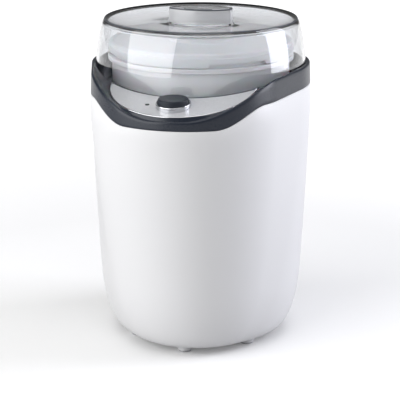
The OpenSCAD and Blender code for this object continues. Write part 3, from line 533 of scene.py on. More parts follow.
def skin(
    name: str, rings: Sequence[np.ndarray], finish: Finish, closed: bool = True, sharp: float = 32
) -> Piece:
    """Makes a closed skin through rings of points.

    Args:
        name: Name of the piece.
        rings: Rings of points, in order.
        finish: Its finish.
        closed: Whether the last ring joins the first. Otherwise the two ends are closed flat.
        sharp: Edges steeper than this many degrees stay crisp.

    Returns:
        The new object.
    """
    count, columns = len(rings), len(rings[0])
    faces: list[Sequence[int]] = []
    for i in range(count if closed else count - 1):
        near, far = i * columns, (i + 1) % count * columns
        for k in range(columns):
            after = (k + 1) % columns
            faces.append((near + k, near + after, far + after, far + k))
    if not closed:
        faces += [range(columns), range((count - 1) * columns, count * columns)]
    mesh = raw_mesh(name, np.vstack(rings), faces)
    mesh.materials.append(dressed(finish))
    return settled(name, mesh, sharp)


def lifted(plan: np.ndarray, z: Heights) -> np.ndarray:
    """Gives the points of a plan one height, or a height each."""
    return np.column_stack([plan[:, :2], np.broadcast_to(z, len(plan))])


def round_ring(
    reach: Heights, z: Heights, angles: np.ndarray, middle: Sequence[float] = AXIS
) -> np.ndarray:
    """A ring of points round an upright axis, with one distance and height or one for each point."""
    x, y = middle[0] + reach * np.cos(angles), middle[1] + reach * np.sin(angles)
    return lifted(np.column_stack([x, y]), z)


def turned_rings(profile: Profile, angles: np.ndarray, middle: Sequence[float] = AXIS) -> list[np.ndarray]:
    """Rings of a shape turned round an upright axis, from a profile of radii and heights."""
    return [round_ring(r, z, angles, middle) for r, z in profile]


def even_angles(count: int) -> np.ndarray:
    """Even directions round a full turn, in radians."""
    return np.arange(count) * 2 * math.pi / count


def merge(name: str, pieces: Sequence[Piece]) -> Piece:
    """Joins pieces of one moulding in the first one.

    Args:
        name: Name of the result.
        pieces: Objects to join. All but the first are removed.

    Returns:
        The joined object.
    """
    body = bmesh.new()
    for piece in pieces:
        body.from_mesh(piece.data)
    body.to_mesh(pieces[0].data)
    body.free()
    for piece in pieces[1:]:
        bpy.data.objects.remove(piece)
    pieces[0].name = name
    return pieces[0]


def place(piece: Piece, body: str, slot: str, *replaced: str) -> None:
    """Says what a piece rides on and which CAD nodes it stands for.

    Args:
        piece: The piece.
        body: Body that carries it.
        slot: Not used.
        replaced: Names of the nodes that it replaces.
    """
    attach(piece, body)
    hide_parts(*replaced)
    LOG.info("%s rides on %s with %d faces", piece.name, body, len(piece.data.polygons))


def ease(t: np.ndarray | float) -> np.ndarray:
    """Smooth step from 0 to 1."""
    u = np.clip(t, 0, 1)
    return u * u * (3 - 2 * u)


# ---- repeated forms


class Repeat(Enum):
    """Forms that a tree repeats, with the sizes that they ask for.

    The disc is turned, with rounded edges, and stands upright on each point. The lug is a bent bar with
    rounded edges, and all its copies are turned evenly round the axis.
    """

    DISC = ("Radius", "Height", "Edge")
    LUG = ("Radius", "Width", "Height", "Edge", "Span", "Start")


@dataclass
class RepeatTree:
    """A Geometry Nodes tree that repeats one small form on the points of a mesh.

    Args:
        form: Which form is repeated.
    """

    form: Repeat
    tree: Tree = field(init=False)
    group: Node = field(init=False)

    def __post_init__(self) -> None:
        """Builds the tree, which ends in real meshes with their finish."""
        self.tree = bpy.data.node_groups.new(f"repeat_{self.form.name.lower()}", "GeometryNodeTree")
        face = self.tree.interface
        face.new_socket("Geometry", in_out="INPUT", socket_type="NodeSocketGeometry")
        for name in self.form.value:
            face.new_socket(name, in_out="INPUT", socket_type="NodeSocketFloat")
        face.new_socket("Finish", in_out="INPUT", socket_type="NodeSocketMaterial")
        face.new_socket("Geometry", in_out="OUTPUT", socket_type="NodeSocketGeometry")
        self.group = self.add("NodeGroupInput")
        repeated = self.disc() if self.form is Repeat.DISC else self.lug()
        real = self.add("GeometryNodeRealizeInstances", {"Geometry": repeated})
        painted = self.add("GeometryNodeSetMaterial", {"Geometry": real, "Material": self.given("Finish")})
        self.add("NodeGroupOutput", {"Geometry": painted})

    def add(self, kind: str, inputs: dict[str | int, object] | None = None, **settings: object) -> Node:
        """Adds a node to the tree, as add_node does."""
        return add_node(self.tree, kind, inputs, **settings)

    def given(self, name: str) -> Socket:
        """The socket that gives one of the tree's own inputs."""
        return self.group.outputs[name]

    def swept(self, path: Node, width: Socket, caps: bool) -> Node:
        """Sweeps an upright rectangle with rounded corners along a flat path.

        Args:
            path: Curve that is followed.
            width: Width across the path.
            caps: Whether the two ends are closed.

        Returns:
            The node of the mesh.
        """
        sizes = {"Width": width, "Height": self.given("Height")}
        section = self.add("GeometryNodeCurvePrimitiveQuadrilateral", sizes)
        fillet = {"Curve": section, "Radius": self.given("Edge"), "Count": 4, "Limit Radius": True}
        soft = self.add("GeometryNodeFilletCurve", fillet, mode="POLY")
        upright = self.add("GeometryNodeSetCurveNormal", {"Curve": path}, mode="Z_UP")
        sweep = {"Curve": upright, "Profile Curve": soft, "Fill Caps": caps}
        return self.add("GeometryNodeCurveToMesh", sweep)

    def disc(self) -> Node:
        """A disc: a rounded rectangle swept round half its own radius, closed in the middle."""
        half = maths(self.tree, "MULTIPLY", self.given("Radius"), 0.5)
        circle = self.add("GeometryNodeCurvePrimitiveCircle", {"Resolution": 72, "Radius": half})
        mesh = self.swept(circle, self.given("Radius"), False)
        shut = self.add("GeometryNodeMergeByDistance", {"Geometry": mesh, "Distance": WELD / 2})
        return self.add("GeometryNodeInstanceOnPoints", {"Points": self.given("Geometry"), "Instance": shut})

    def lug(self) -> Node:
        """A bent bar on each point, each turned by its share of a full turn."""
        bend = {"Resolution": 40, "Radius": self.given("Radius"), "Sweep Angle": self.given("Span")}
        mesh = self.swept(self.add("GeometryNodeCurveArc", bend, mode="RADIUS"), self.given("Width"), True)
        points = {"Geometry": self.given("Geometry")}
        count = self.add("GeometryNodeAttributeDomainSize", points, component="MESH").outputs["Point Count"]
        share = maths(self.tree, "DIVIDE", self.add("GeometryNodeInputIndex"), count)
        turn = maths(self.tree, "MULTIPLY_ADD", share, 2 * math.pi, self.given("Start"))
        spin = self.add("ShaderNodeCombineXYZ", {"Z": turn})
        inputs = {"Points": self.given("Geometry"), "Instance": mesh, "Rotation": spin}
        return self.add("GeometryNodeInstanceOnPoints", inputs)

    def make(self, name: str, points: Sequence[Point], finish: Finish, **sizes: float) -> Piece:
        """Repeats the form on points and turns the result into a plain mesh.

        Args:
            name: Name of the piece.
            points: Middle of each repeat, in millimetres.
            finish: Its finish.
            sizes: Sizes by input name, lengths in millimetres and angles in degrees.

        Returns:
            The finished object.
        """
        given = {k: math.radians(v) if k in ("Span", "Start") else v * MM for k, v in sizes.items()}
        given["Finish"] = dressed(finish)
        carrier = show(f"{name}_points", raw_mesh(f"{name}_points", points))
        modifier = carrier.modifiers.new("repeat", "NODES")
        modifier.node_group = self.tree
        for item in self.tree.interface.items_tree:
            if item.in_out == "INPUT" and item.name in given:
                modifier[item.identifier] = given[item.name]
        ready = carrier.evaluated_get(bpy.context.evaluated_depsgraph_get())
        mesh = bpy.data.meshes.new_from_object(ready)
        bpy.data.objects.remove(carrier)
        mesh.name = name
        return settled(name, mesh, 40)


# ---- the egg-shaped body


@dataclass(frozen=True)
class BodyShape:
    """The outline that the casing and the collar share, in millimetres.

    The plan is a large round behind and a smaller one in front, joined by their tangents. Each wave says
    how far from the front an edge starts to rise, and how far it goes on, in degrees.
    """

    back_radius: float = 79.7
    front_radius: float = 68.8
    front_shift: float = 40.9
    front_lean: float = 0.149
    wall_draft: float = 0.03
    wall_bulge: float = 0.0001
    collar_line: float = 175.4
    turn_in: float = 11.4
    turn_high: float = 43.4
    foot_height: float = 5.5
    collar_lean: float = 0.04
    band_height: float = 6.4
    low_rise: float = 12.8
    low_wave: tuple[float, float] = (27, 34)
    high_rise: float = 21.2
    high_wave: tuple[float, float] = (10, 65)
    front_steps: int = 40
    back_steps: int = 56

    @property
    def columns(self) -> int:
        """Number of points round the body."""
        return 2 * (self.front_steps + self.back_steps) + 2

    @property
    def turn_top(self) -> float:
        """Height where the wall starts to turn under."""
        return self.foot_height + self.turn_high

    @property
    def rim_height(self) -> float:
        """Height of the collar's rim at the sides and back."""
        return self.collar_line + self.band_height + self.high_rise

    @property
    def round_turn(self) -> np.ndarray:
        """Direction of each column in degrees, from the front all the way round."""
        return np.degrees(self.facing(np.full(self.columns, self.collar_line)))

    @property
    def side(self) -> np.ndarray:
        """Direction of each column in degrees: 0 at the front, 180 at the back."""
        return np.minimum(self.round_turn, 360 - self.round_turn)

    @property
    def hand(self) -> np.ndarray:
        """1 for columns on the right, -1 for those on the left."""
        return np.where(self.round_turn > 180, -1.0, 1.0)

    def inset(self, z: np.ndarray) -> np.ndarray:
        """How far the wall stands inside the plan.

        Args:
            z: Heights.

        Returns:
            Inset at each height.
        """
        below, above = np.maximum(0, self.collar_line - z), np.maximum(0, z - self.collar_line)
        share = np.clip((self.turn_top - z) / self.turn_high, 0, 1)
        turned = self.turn_in * (1 - np.sqrt(1 - share**2))
        return self.wall_draft * below + self.wall_bulge * below**2 + self.collar_lean * above + turned

    def shift(self, z: np.ndarray) -> np.ndarray:
        """How far the front round's middle stands before the back one's at each height."""
        return self.front_shift - self.front_lean * np.maximum(0, self.collar_line - z)

    def facing(self, z: np.ndarray) -> np.ndarray:
        """Direction that the wall faces at each column.

        Args:
            z: Height of each column's point.

        Returns:
            Angles from the front all the way round, in radians.
        """
        meet = np.arccos((self.back_radius - self.front_radius) / self.shift(z))
        k, f, b = np.arange(self.columns), self.front_steps, self.back_steps
        back = meet + (2 * math.pi - 2 * meet) * (k - f - 1) / (2 * b)
        last = 2 * math.pi - meet + meet * (k - f - 2 * b - 2) / f
        return np.where(k <= f, meet * k / f, np.where(k <= f + 1 + 2 * b, back, last))

    def ring(self, z: Heights, inset: Heights = 0.0, lift: float = 0.0) -> np.ndarray:
        """A ring of points on the body's wall.

        Args:
            z: Height of each column, where the wall is measured.
            inset: How far inside the wall the points stand.
            lift: How far above that height the points stand.

        Returns:
            Points, one for each column.
        """
        z = np.broadcast_to(np.asarray(z, float), (self.columns,))
        a, k = self.facing(z), np.arange(self.columns)
        front = (k <= self.front_steps) | (k > self.front_steps + 1 + 2 * self.back_steps)
        radius = np.where(front, self.front_radius, self.back_radius) - (self.inset(z) + inset)
        y = AXIS[1] - np.where(front, self.shift(z), 0) - radius * np.cos(a)
        return np.column_stack([radius * np.sin(a), y, z + lift])

    def low_edge(self) -> np.ndarray:
        """Height of the collar's lower edge at each column."""
        start, length = self.low_wave
        return self.collar_line + self.low_rise * ease((self.side - start) / length)

    def high_edge(self) -> np.ndarray:
        """Height of the collar's upper edge at each column."""
        start, length = self.high_wave
        return self.collar_line + self.band_height + self.high_rise * ease((self.side - start) / length)


@dataclass
class Casing:
    """The white casing with its base, feet and pads.

    The shell starts with foot steps, each of them up and inwards. Each foot's spot is its direction from
    the front, in degrees, and how far it stands inside the plan.
    A screw boss and a collar pillar are given by radius, height and edge round, and the inlet's seat
    by its turned profile.
    """

    shape: BodyShape
    wall: float = 2.0
    foot_steps: tuple[tuple[float, float], ...] = ((0, 3), (0, 0.5), (0.25, 0.12))
    edge_round: float = 0.5
    turn_steps: int = 26
    wall_steps: int = 15
    foot_radius: float = 5.5
    foot_round: float = 0.7
    pad_thickness: float = 1.2
    pad_inset: float = 0.8
    pad_round: float = 0.35
    foot_spots: tuple[tuple[float, float], ...] = (
        (0, 23.1),
        (51.8, 27.5),
        (-51.8, 27.5),
        (138.2, 28.7),
        (-138.2, 28.7),
    )
    boss: Point = (3.6, 19.7, 0.4)
    boss_middle: float = 18.1
    pillar: Point = (4.8, 7.9, 0.4)
    pillar_middle: float = 164.9
    pillar_inset: float = 6.6
    pillar_column: int = 31
    seat_height: float = 20.0
    seat: tuple[Point, ...] = ((6.1, 72.7, 0), (8.6, 72.7, 0.5), (8.6, 79.0, 0), (6.1, 79.0, 0))
    discs: RepeatTree = field(default_factory=lambda: RepeatTree(Repeat.DISC))

    def disc(self, name: str, points: Sequence[Point], finish: Finish, size: Point) -> Piece:
        """Makes equal upright discs round those middles, each with a radius, a height and an edge round."""
        return self.discs.make(name, points, finish, Radius=size[0], Height=size[1], Edge=size[2])

    def foot_points(self, z: float) -> list[Point]:
        """Middles of the feet at a height."""
        spots = [(self.shape.back_radius - inset, math.radians(a)) for a, inset in self.foot_spots]
        return [(r * math.sin(a), AXIS[1] - r * math.cos(a), z) for r, a in spots]

    def rings(self) -> list[np.ndarray]:
        """Rings of the shell: up the outside, over the soft top edge and down the inside."""
        s, soft = self.shape, self.edge_round
        low = s.low_edge()
        steps = [math.radians(90 * i / self.turn_steps) for i in range(self.turn_steps, 0, -1)]
        turn = [s.turn_top - s.turn_high * math.sin(a) for a in steps]
        shares = np.linspace(0, 1, self.wall_steps)
        rings = [s.ring(s.foot_height + rise, inset) for rise, inset in self.foot_steps]
        rings += [s.ring(z) for z in turn[1:]]
        rings += [s.ring(s.turn_top + (low - soft - s.turn_top) * t) for t in shares]
        for c in map(math.radians, (30, 60, 90)):
            rings.append(s.ring(low - soft + soft * math.sin(c), soft * (1 - math.cos(c))))
        rings.append(s.ring(low, self.wall))
        rings += [s.ring(s.turn_top + (low - s.turn_top) * t, self.wall) for t in shares[-2::-3]]
        return rings + [s.ring(z, self.wall) for z in turn[-2::-3]]

    def fittings(self) -> list[Piece]:
        """Screw bosses, collar pillars and the inlet's seat, which stand inside the shell."""
        s = self.shape
        bosses = self.disc("bosses", self.foot_points(self.boss_middle), BODY_ABS, self.boss)
        ring = s.ring(s.collar_line, self.pillar_inset)
        columns = (self.pillar_column, s.columns - self.pillar_column)
        places = [(*ring[k][:2], self.pillar_middle) for k in columns]
        pillars = self.disc("pillars", places, BODY_ABS, self.pillar)
        turned = turned_rings(rounded(self.seat, 3), even_angles(48), (0, 0))
        rings = [np.column_stack([r[:, 0], AXIS[1] + r[:, 2], self.seat_height + r[:, 1]]) for r in turned]
        return [bosses, pillars, skin("seat", rings, BODY_ABS)]

    def build(self) -> None:
        """Builds and dresses the casing, the feet and the pads."""
        shell = skin("outer_casing_shell", self.rings(), BODY_ABS, sharp=40)
        moulding = merge("outer_casing_moulding", [shell, *self.fittings()])
        place(moulding, "housing", "white_body", "outer_casing")
        pad, height = self.pad_thickness, self.shape.foot_height - self.pad_thickness
        feet, pads = self.foot_points(pad + height / 2), self.foot_points(pad / 2)
        size = (self.foot_radius, height, self.foot_round)
        place(self.disc("round_feet", feet, FOOT_ABS, size), "housing", "foot_white", "feet")
        size = (self.foot_radius - self.pad_inset, pad, self.pad_round)
        place(self.disc("soft_foot_pads", pads, PAD_RUBBER, size), "housing", "soft_pad", "foot_pads")


@dataclass
class Collar:
    """The slate collar: a waving band, a soft shoulder, the panel's pocket and the cover's sleeve.

    Facings are directions from the front in degrees, and the panel's tilt is in degrees too. The lower
    edge is rounded by steps up and in. The shoulder's steps are how far each ring grows and drops. The
    web's edges are its insets from the wall and the pocket, and its radius behind. The spigot's inside
    grows thinner along its wave, given like those of the body.
    """

    shape: BodyShape
    seam: float = 0.12
    low_steps: tuple[tuple[float, float], ...] = ((0, 0.3), (0.25, 0.06), (0.5, 0))
    rim_round: float = 1.2
    shoulder_rise: float = 0.4
    shoulder_steps: tuple[tuple[float, float], ...] = ((0.35, 0), (0.1, 0.1), (0, 0.35), (0, 4.6))
    panel_shift: float = 56.0
    pocket_radius: float = 51.35
    shoulder_radius: float = 76.45
    sleeve_radius: float = 75.9
    sleeve_outer: float = 77.0
    shelf_radius: float = 69.8
    panel_reach: float = 107.0
    panel_front_height: float = 184.1
    panel_tilt: float = 12.94
    tip_facing: float = 57.0
    web_bottom: float = 172.0
    web_top: float = 174.5
    web_edges: Point = (2.9, 4.0, 76.2)
    flange_bottom: float = 182.0
    shelf_bottom: float = 179.0
    spigot_foot: float = 169.0
    spigot_lap: float = 2.0
    spigot_inset: float = 2.2
    spigot_inside: float = 3.6
    spigot_thinning: float = 0.7
    spigot_wave: tuple[float, float] = (50, 25)
    post: tuple[float, float] = (35.98, -64.0)
    post_radius: float = 3.2
    post_bore: float = 1.55
    post_foot: float = 162.0
    post_facing: float = 41.9
    arm_length: float = 7.0
    arm_width: float = 5.0
    arm_bottom: float = 172.3
    arm_top: float = 174.1

    def panel_height(self, reach: Heights) -> Heights:
        """Height of the panel's plane at a distance in front of the vessel's axis."""
        return self.panel_front_height + math.tan(math.radians(self.panel_tilt)) * (self.panel_reach - reach)

    def inner_edge(self, pocket: float, round_radius: float) -> np.ndarray:
        """Plan of the collar's inner edge: the panel's pocket in front, a circle behind.

        Args:
            pocket: Radius of the pocket's edge.
            round_radius: Radius of the circle round the vessel's axis.

        Returns:
            X and Y of each column.
        """
        a, shift, facing = self.shape.side, self.panel_shift, self.tip_facing
        tip = math.acos((round_radius**2 - shift**2 - pocket**2) / (2 * shift * pocket))
        tip_angle = math.degrees(math.atan2(pocket * math.sin(tip), shift + pocket * math.cos(tip)))
        turn = tip * a / facing
        rad = np.radians(np.where(a > 90, a, tip_angle + (90 - tip_angle) * (a - facing) / (90 - facing)))
        x = np.where(a < facing, pocket * np.sin(turn), round_radius * np.sin(rad))
        y = np.where(a < facing, -shift - pocket * np.cos(turn), -round_radius * np.cos(rad))
        return np.column_stack([self.shape.hand * x, AXIS[1] + y])

    def shoulder(self, grow: float, drop: float) -> np.ndarray:
        """A ring on the shoulder's inner edge.

        Args:
            grow: How far outside that edge the ring stands.
            drop: How far below it.

        Returns:
            Points.
        """
        plan = self.inner_edge(self.pocket_radius + grow, self.shoulder_radius + grow)
        height = self.panel_height(AXIS[1] - plan[:, 1]) + self.shoulder_rise
        return lifted(plan, np.minimum(height, self.shape.rim_height) - drop)

    def skin_rings(self) -> list[np.ndarray]:
        """Rings of the collar's shell, from its lower edge over the rim and the shoulder to the spigot."""
        s, r = self.shape, self.rim_round
        low, high = s.low_edge(), s.high_edge()
        rings = [s.ring(low + rise, inset, self.seam) for rise, inset in self.low_steps]
        foot = self.low_steps[-1][0]
        for t in (0.2, 0.4, 0.6, 0.8, 1):
            rings.append(s.ring(low + foot + (high - r - low - foot) * t))
        for c in map(math.radians, range(15, 91, 15)):
            rings.append(s.ring(high, r * (1 - math.cos(c)), -r + r * math.sin(c)))
        ends = [self.shoulder(grow, drop) for grow, drop in self.shoulder_steps]
        start, end = rings[-1], ends[0]
        for t in (0.2, 0.4, 0.6, 0.8):
            across = start[:, :2] + (end[:, :2] - start[:, :2]) * t
            rings.append(lifted(across, start[:, 2] + (end[:, 2] - start[:, 2]) * ease(t)))
        begin, length = self.spigot_wave
        thin = self.spigot_inside - self.spigot_thinning * ease((s.side - begin) / length)
        rings += [*ends, s.ring(low + self.spigot_lap, thin), s.ring(self.spigot_foot, thin)]
        rings += [s.ring(self.spigot_foot, self.spigot_inset), s.ring(low, self.spigot_inset, self.seam)]
        return rings

    def sleeve(self) -> Piece:
        """The sleeve that the cover drops into, with the shelf under the well's flange."""
        angles, near, far = even_angles(256), self.sleeve_radius, self.sleeve_outer
        rings = []
        for radius, height in (
            (near, self.web_bottom),
            (far, self.web_bottom),
            (far, None),
            (near, None),
            (near, self.flange_bottom),
            (self.shelf_radius, self.flange_bottom),
            (self.shelf_radius, self.shelf_bottom),
            (near, self.shelf_bottom),
        ):
            slope = self.panel_height(-radius * np.sin(angles)) - 0.05
            top = np.minimum(self.shape.rim_height - 0.1, slope)
            rings.append(round_ring(radius, top if height is None else height, angles))
        return skin("sleeve", rings, SLATE_ABS, sharp=30)

    def web(self) -> Piece:
        """The flat web that ties the sleeve to the spigot, open under the panel."""
        spigot, pocket, circle = self.web_edges
        outer = self.shape.ring(self.web_bottom, spigot)
        inner = self.inner_edge(self.pocket_radius - pocket, circle)
        low, high = self.web_bottom, self.web_top
        pairs = ((outer, low), (outer, high), (inner, high), (inner, low))
        return skin("web", [lifted(plan, z) for plan, z in pairs], SLATE_ABS, sharp=30)

    def board_posts(self) -> list[Piece]:
        """The two hollow posts that hold the board, each with an arm out to the spigot."""
        turn, made = math.radians(self.post_facing), []
        walls = ((self.post_radius, self.post_foot), (self.post_radius, self.arm_top))
        walls += ((self.post_bore, self.arm_top), (self.post_bore, self.post_foot))
        for side in (-1, 1):
            foot = np.array([side * self.post[0], self.post[1]])
            made.append(skin("board_post", turned_rings(walls, even_angles(48), foot), SLATE_ABS, sharp=30))
            out = np.array([side * math.sin(turn), -math.cos(turn)])
            half = np.array([-out[1], out[0]]) * self.arm_width / 2
            near, far = foot + out * (self.post_bore + 0.6), foot + out * self.arm_length
            plan = np.array([near - half, far - half, far + half, near + half])
            arm = [lifted(plan, z) for z in (self.arm_bottom, self.arm_top - 0.02)]
            made.append(skin("board_arm", arm, SLATE_ABS, closed=False, sharp=30))
        return made

    def build(self) -> None:
        """Builds and dresses the collar."""
        shell = skin("shell", self.skin_rings(), SLATE_ABS, sharp=38)
        merged = merge("collar_moulding", [shell, self.sleeve(), self.web(), *self.board_posts()])
        place(merged, "housing", "slate_plastic", "collar")


@dataclass
class ControlPanel:
    """The sloping silver panel: its trim, bezel, button and indicator.

    Slants are angles between a top and the panel, in degrees.
    """

    collar: Collar
    panel_radius: float = 49.95
    trim_radius: float = 51.05
    trim_foot: float = -2.0
    trim_height: float = 0.5
    trim_round: float = 0.5
    trim_gap: float = 0.15
    trim_steps: int = 220
    button_reach: float = 89.0
    button_radius: float = 10.75
    button_height: float = 5.5
    button_slant: float = 10.0
    cap_foot: float = 1.6
    bezel_inner: float = 11.05
    bezel_outer: float = 12.0
    bezel_height: float = 2.6
    bezel_slant: float = 5.0
    stem_radius: float = 2.1
    stem_foot: float = -6.2
    hub_radius: float = 5.5
    hub_foot: float = -1.5
    indicator_offset: float = 18.0
    indicator_radius: float = 1.5
    indicator_foot: float = -2.0

    def turned(
        self, name: str, profile: Profile, finish: Finish, x: float = 0, slant: float = 0, start: float = 0
    ) -> Piece:
        """Makes a turned piece that stands on the panel, with its top leaning back towards the level.

        Args:
            name: Name of the piece.
            profile: Radius and height of its rings, closed.
            finish: Its finish.
            x: Sideways distance from the button.
            slant: Angle between its top and the panel, in degrees.
            start: Height from which the lean grows.

        Returns:
            The piece.
        """
        tilt, rings = math.radians(self.collar.panel_tilt), []
        foot_y, foot_z = AXIS[1] - self.button_reach, self.collar.panel_height(self.button_reach)
        top = max(z for _, z in profile)
        for ring, (_, height) in zip(turned_rings(profile, even_angles(120), (0, 0)), profile):
            share = min(1.0, max(0.0, (height - start) / (top - start)))
            y = ring[:, 1]
            z = ring[:, 2] - math.tan(math.radians(slant)) * share * y
            across = foot_y + y * math.cos(tilt) - z * math.sin(tilt)
            up = foot_z + y * math.sin(tilt) + z * math.cos(tilt)
            rings.append(np.column_stack([ring[:, 0] + x, across, up]))
        return skin(name, rings, finish)

    def trim(self) -> Piece:
        """The bright trim: a rounded strip along the panel's curved edge."""
        c, inner, outer = self.collar, self.panel_radius, self.trim_radius
        foot, top, soft = self.trim_foot, self.trim_height, self.trim_round
        section = rounded([(inner, foot, 0), (outer, foot, 0), (outer, top, soft), (inner, top, soft)], 6)
        limit, shift, rings = c.sleeve_outer + self.trim_gap, c.panel_shift, []
        for i in range(self.trim_steps + 1):
            row = []
            for r, h in section:
                end = math.acos((limit**2 - shift**2 - r * r) / (2 * shift * r))
                a = end * (2 * i / self.trim_steps - 1)
                reach = shift + r * math.cos(a)
                rise = c.panel_height(reach) + h / math.cos(math.radians(c.panel_tilt))
                row.append((r * math.sin(a), AXIS[1] - reach, rise))
            rings.append(np.array(row))
        return skin("chromed_panel_trim", rings, TRIM_CHROME, closed=False, sharp=50)

    def cap(self) -> Piece:
        """The button's cap with its soft edge, shallow dish and stem."""
        top, r, foot = self.button_height, self.button_radius, self.cap_foot
        thin, end = self.stem_radius, self.stem_foot
        stem = [(0, end, 0), (thin, end, 0.3), (thin, self.hub_foot, 0)]
        hub = [(self.hub_radius, self.hub_foot, 0.3), (self.hub_radius, foot, 0)]
        skirt = [(r, foot, 0.3), (r, foot + 1, 1.0), (r - 0.75, top, 0.9)]
        dish = [(r * 0.72, top - 0.05, 2.0), (r * 0.3, top - 0.3, 2.0), (0, top - 0.35, 0)]
        profile = rounded(stem + hub + skirt + dish, 7)
        return self.turned("slate_push_button", profile, CAP_ABS, slant=self.button_slant, start=foot + 0.8)

    def bezel(self) -> Piece:
        """The bright ring round the button."""
        near, far, top = self.bezel_inner, self.bezel_outer, self.bezel_height
        profile = rounded([(near, 0, 0), (far, 0, 0.1), (far, top, 0.6), (near, top, 0.3)], 7)
        return self.turned("chromed_button_bezel", profile, TRIM_CHROME, slant=self.bezel_slant)

    def lens(self) -> Piece:
        """The indicator's small domed lens."""
        r, foot = self.indicator_radius, self.indicator_foot
        profile = rounded([(0, foot, 0), (r, foot, 0), (r, 0.1, 0.2), (0, 0.2, 0)], 5)
        return self.turned("smoked_indicator_lens", profile, LENS_BLACK, x=-self.indicator_offset)

    def build(self) -> None:
        """Builds and dresses the panel's pieces."""
        place(self.trim(), "housing", "bright_trim", "panel_trim")
        place(self.bezel(), "housing", "bright_trim", "button_bezel")
        place(self.cap(), "button", "slate_plastic", "button_cap")
        place(self.lens(), "housing", "dark_lens", "indicator_lens")


# ---- vessel, lid and cover


@dataclass
class Vessel:
    """The lift-out vessel, its twist-lock lid and the lock's lugs. Spans and facings are in degrees."""

    radius: float = 64.0
    wall: float = 2.0
    foot: float = 34.2
    mouth: float = 214.6
    neck_foot: float = 208.6
    neck_radius: float = 63.2
    bead_foot: float = 204.8
    bead_radius: float = 66.8
    lug_width: float = 1.4
    lug_height: float = 1.8
    lug_foot: float = 212.0
    lug_root: float = 0.6
    lug_span: float = 30.0
    lug_count: int = 4
    lock_facing: float = 35.0
    lid_inner: float = 65.0
    lid_outer: float = 66.6
    lid_foot: float = 209.0
    lid_lug_height: float = 1.6
    lid_lug_gap: float = 0.4
    lid_lug_span: float = 22.0
    notch_span: float = 37.0
    notch_height: float = 2.4
    notch_slope: float = 1.8
    plate_foot: float = 216.4
    lid_top: float = 218.0
    grip_radius: float = 23.6
    grip_height: float = 3.6
    lugs: RepeatTree = field(default_factory=lambda: RepeatTree(Repeat.LUG))

    def lug_ring(self, name: str, foot: float, facing: float, **sizes: float) -> Piece:
        """Makes even lugs round the axis, at a foot's height and with the first one facing that way."""
        points = [(*AXIS, foot + sizes["Height"] / 2)] * self.lug_count
        return self.lugs.make(name, points, VESSEL_PP, Start=facing - sizes["Span"] / 2, **sizes)

    def jar(self) -> Piece:
        """The vessel itself, with a bead under its neck and four lugs on it."""
        r, n, w, foot, neck = self.radius, self.neck_radius, self.wall, self.foot, self.neck_foot
        bead, inner = self.bead_radius, self.radius - self.wall
        side = [(0, foot, 0), (r, foot, 8), (r, self.bead_foot, 0.6)]
        side += [(bead, self.bead_foot + 0.4, 0.6), (bead, neck, 0.7), (n, neck, 0.4), (n, self.mouth, 0.6)]
        side += [(n - w, self.mouth, 0.6), (n - w, neck - 2, 2), (inner, neck - 5, 2)]
        side += [(inner, foot + w, 7), (0, foot + w, 0)]
        jar = skin("jar", turned_rings(rounded(side, 7), even_angles(256)), VESSEL_PP, sharp=45)
        root = self.lug_root
        sizes = {"Radius": n + (self.lug_width - root) / 2, "Width": self.lug_width + root, "Edge": 0.4}
        sizes |= {"Height": self.lug_height, "Span": self.lug_span}
        return merge("milky_vessel", [jar, self.lug_ring("lugs", self.lug_foot, self.lock_facing, **sizes)])

    def lid(self) -> Piece:
        """The twist-lock lid: a stepped skirt with four notches, a raised ring and a round grip."""
        angles, half = even_angles(720), 180 / self.lug_count
        off = (np.degrees(angles) - self.lock_facing + half) % (2 * half) - half
        near = (self.notch_span + self.notch_slope) / 2 - np.abs(off)
        lift = self.notch_height * ease(near / self.notch_slope)
        o, i, t, g, h = self.lid_outer, self.lid_inner, self.lid_top, self.grip_radius, self.grip_height
        side = [(0, self.plate_foot, 0), (i, self.plate_foot, 0.5), (i, self.lid_foot, 0.3)]
        side += [(o, self.lid_foot, 0.5), (o, t - 2.4, 0.5), (o - 0.8, t - 2.4, 0.25), (o - 0.8, t, 0.7)]
        side += [(o - 2, t + 0.8, 0.7), (o - 3.4, t + 0.8, 0.7), (o - 4.4, t, 0.5)]
        side += [(g, t, 0.5), (g - 0.6, t + h, 0.8), (g - 2.4, t + h, 0.8), (g - 3, t, 0.5), (0, t, 0)]
        profile = rounded(side, 4)
        rings = turned_rings(profile, angles)
        for ring, (_, z) in zip(rings, profile):
            if z < self.lid_foot + 2:
                ring[:, 2] += lift
        lid = skin("lid", rings, VESSEL_PP, sharp=45)
        near, far = self.neck_radius + self.lid_lug_gap, i + self.lug_root
        sizes = {"Radius": (near + far) / 2, "Width": far - near, "Edge": 0.3}
        sizes |= {"Height": self.lid_lug_height, "Span": self.lid_lug_span}
        lugs = self.lug_ring("lid_lugs", self.lid_foot, self.lock_facing + half, **sizes)
        return merge("milky_vessel_lid", [lid, lugs])

    def build(self) -> None:
        """Builds and dresses the vessel and its lid."""
        place(self.jar(), "vessel", "vessel_plastic", "vessel")
        place(self.lid(), "lid", "vessel_plastic", "vessel_lid")


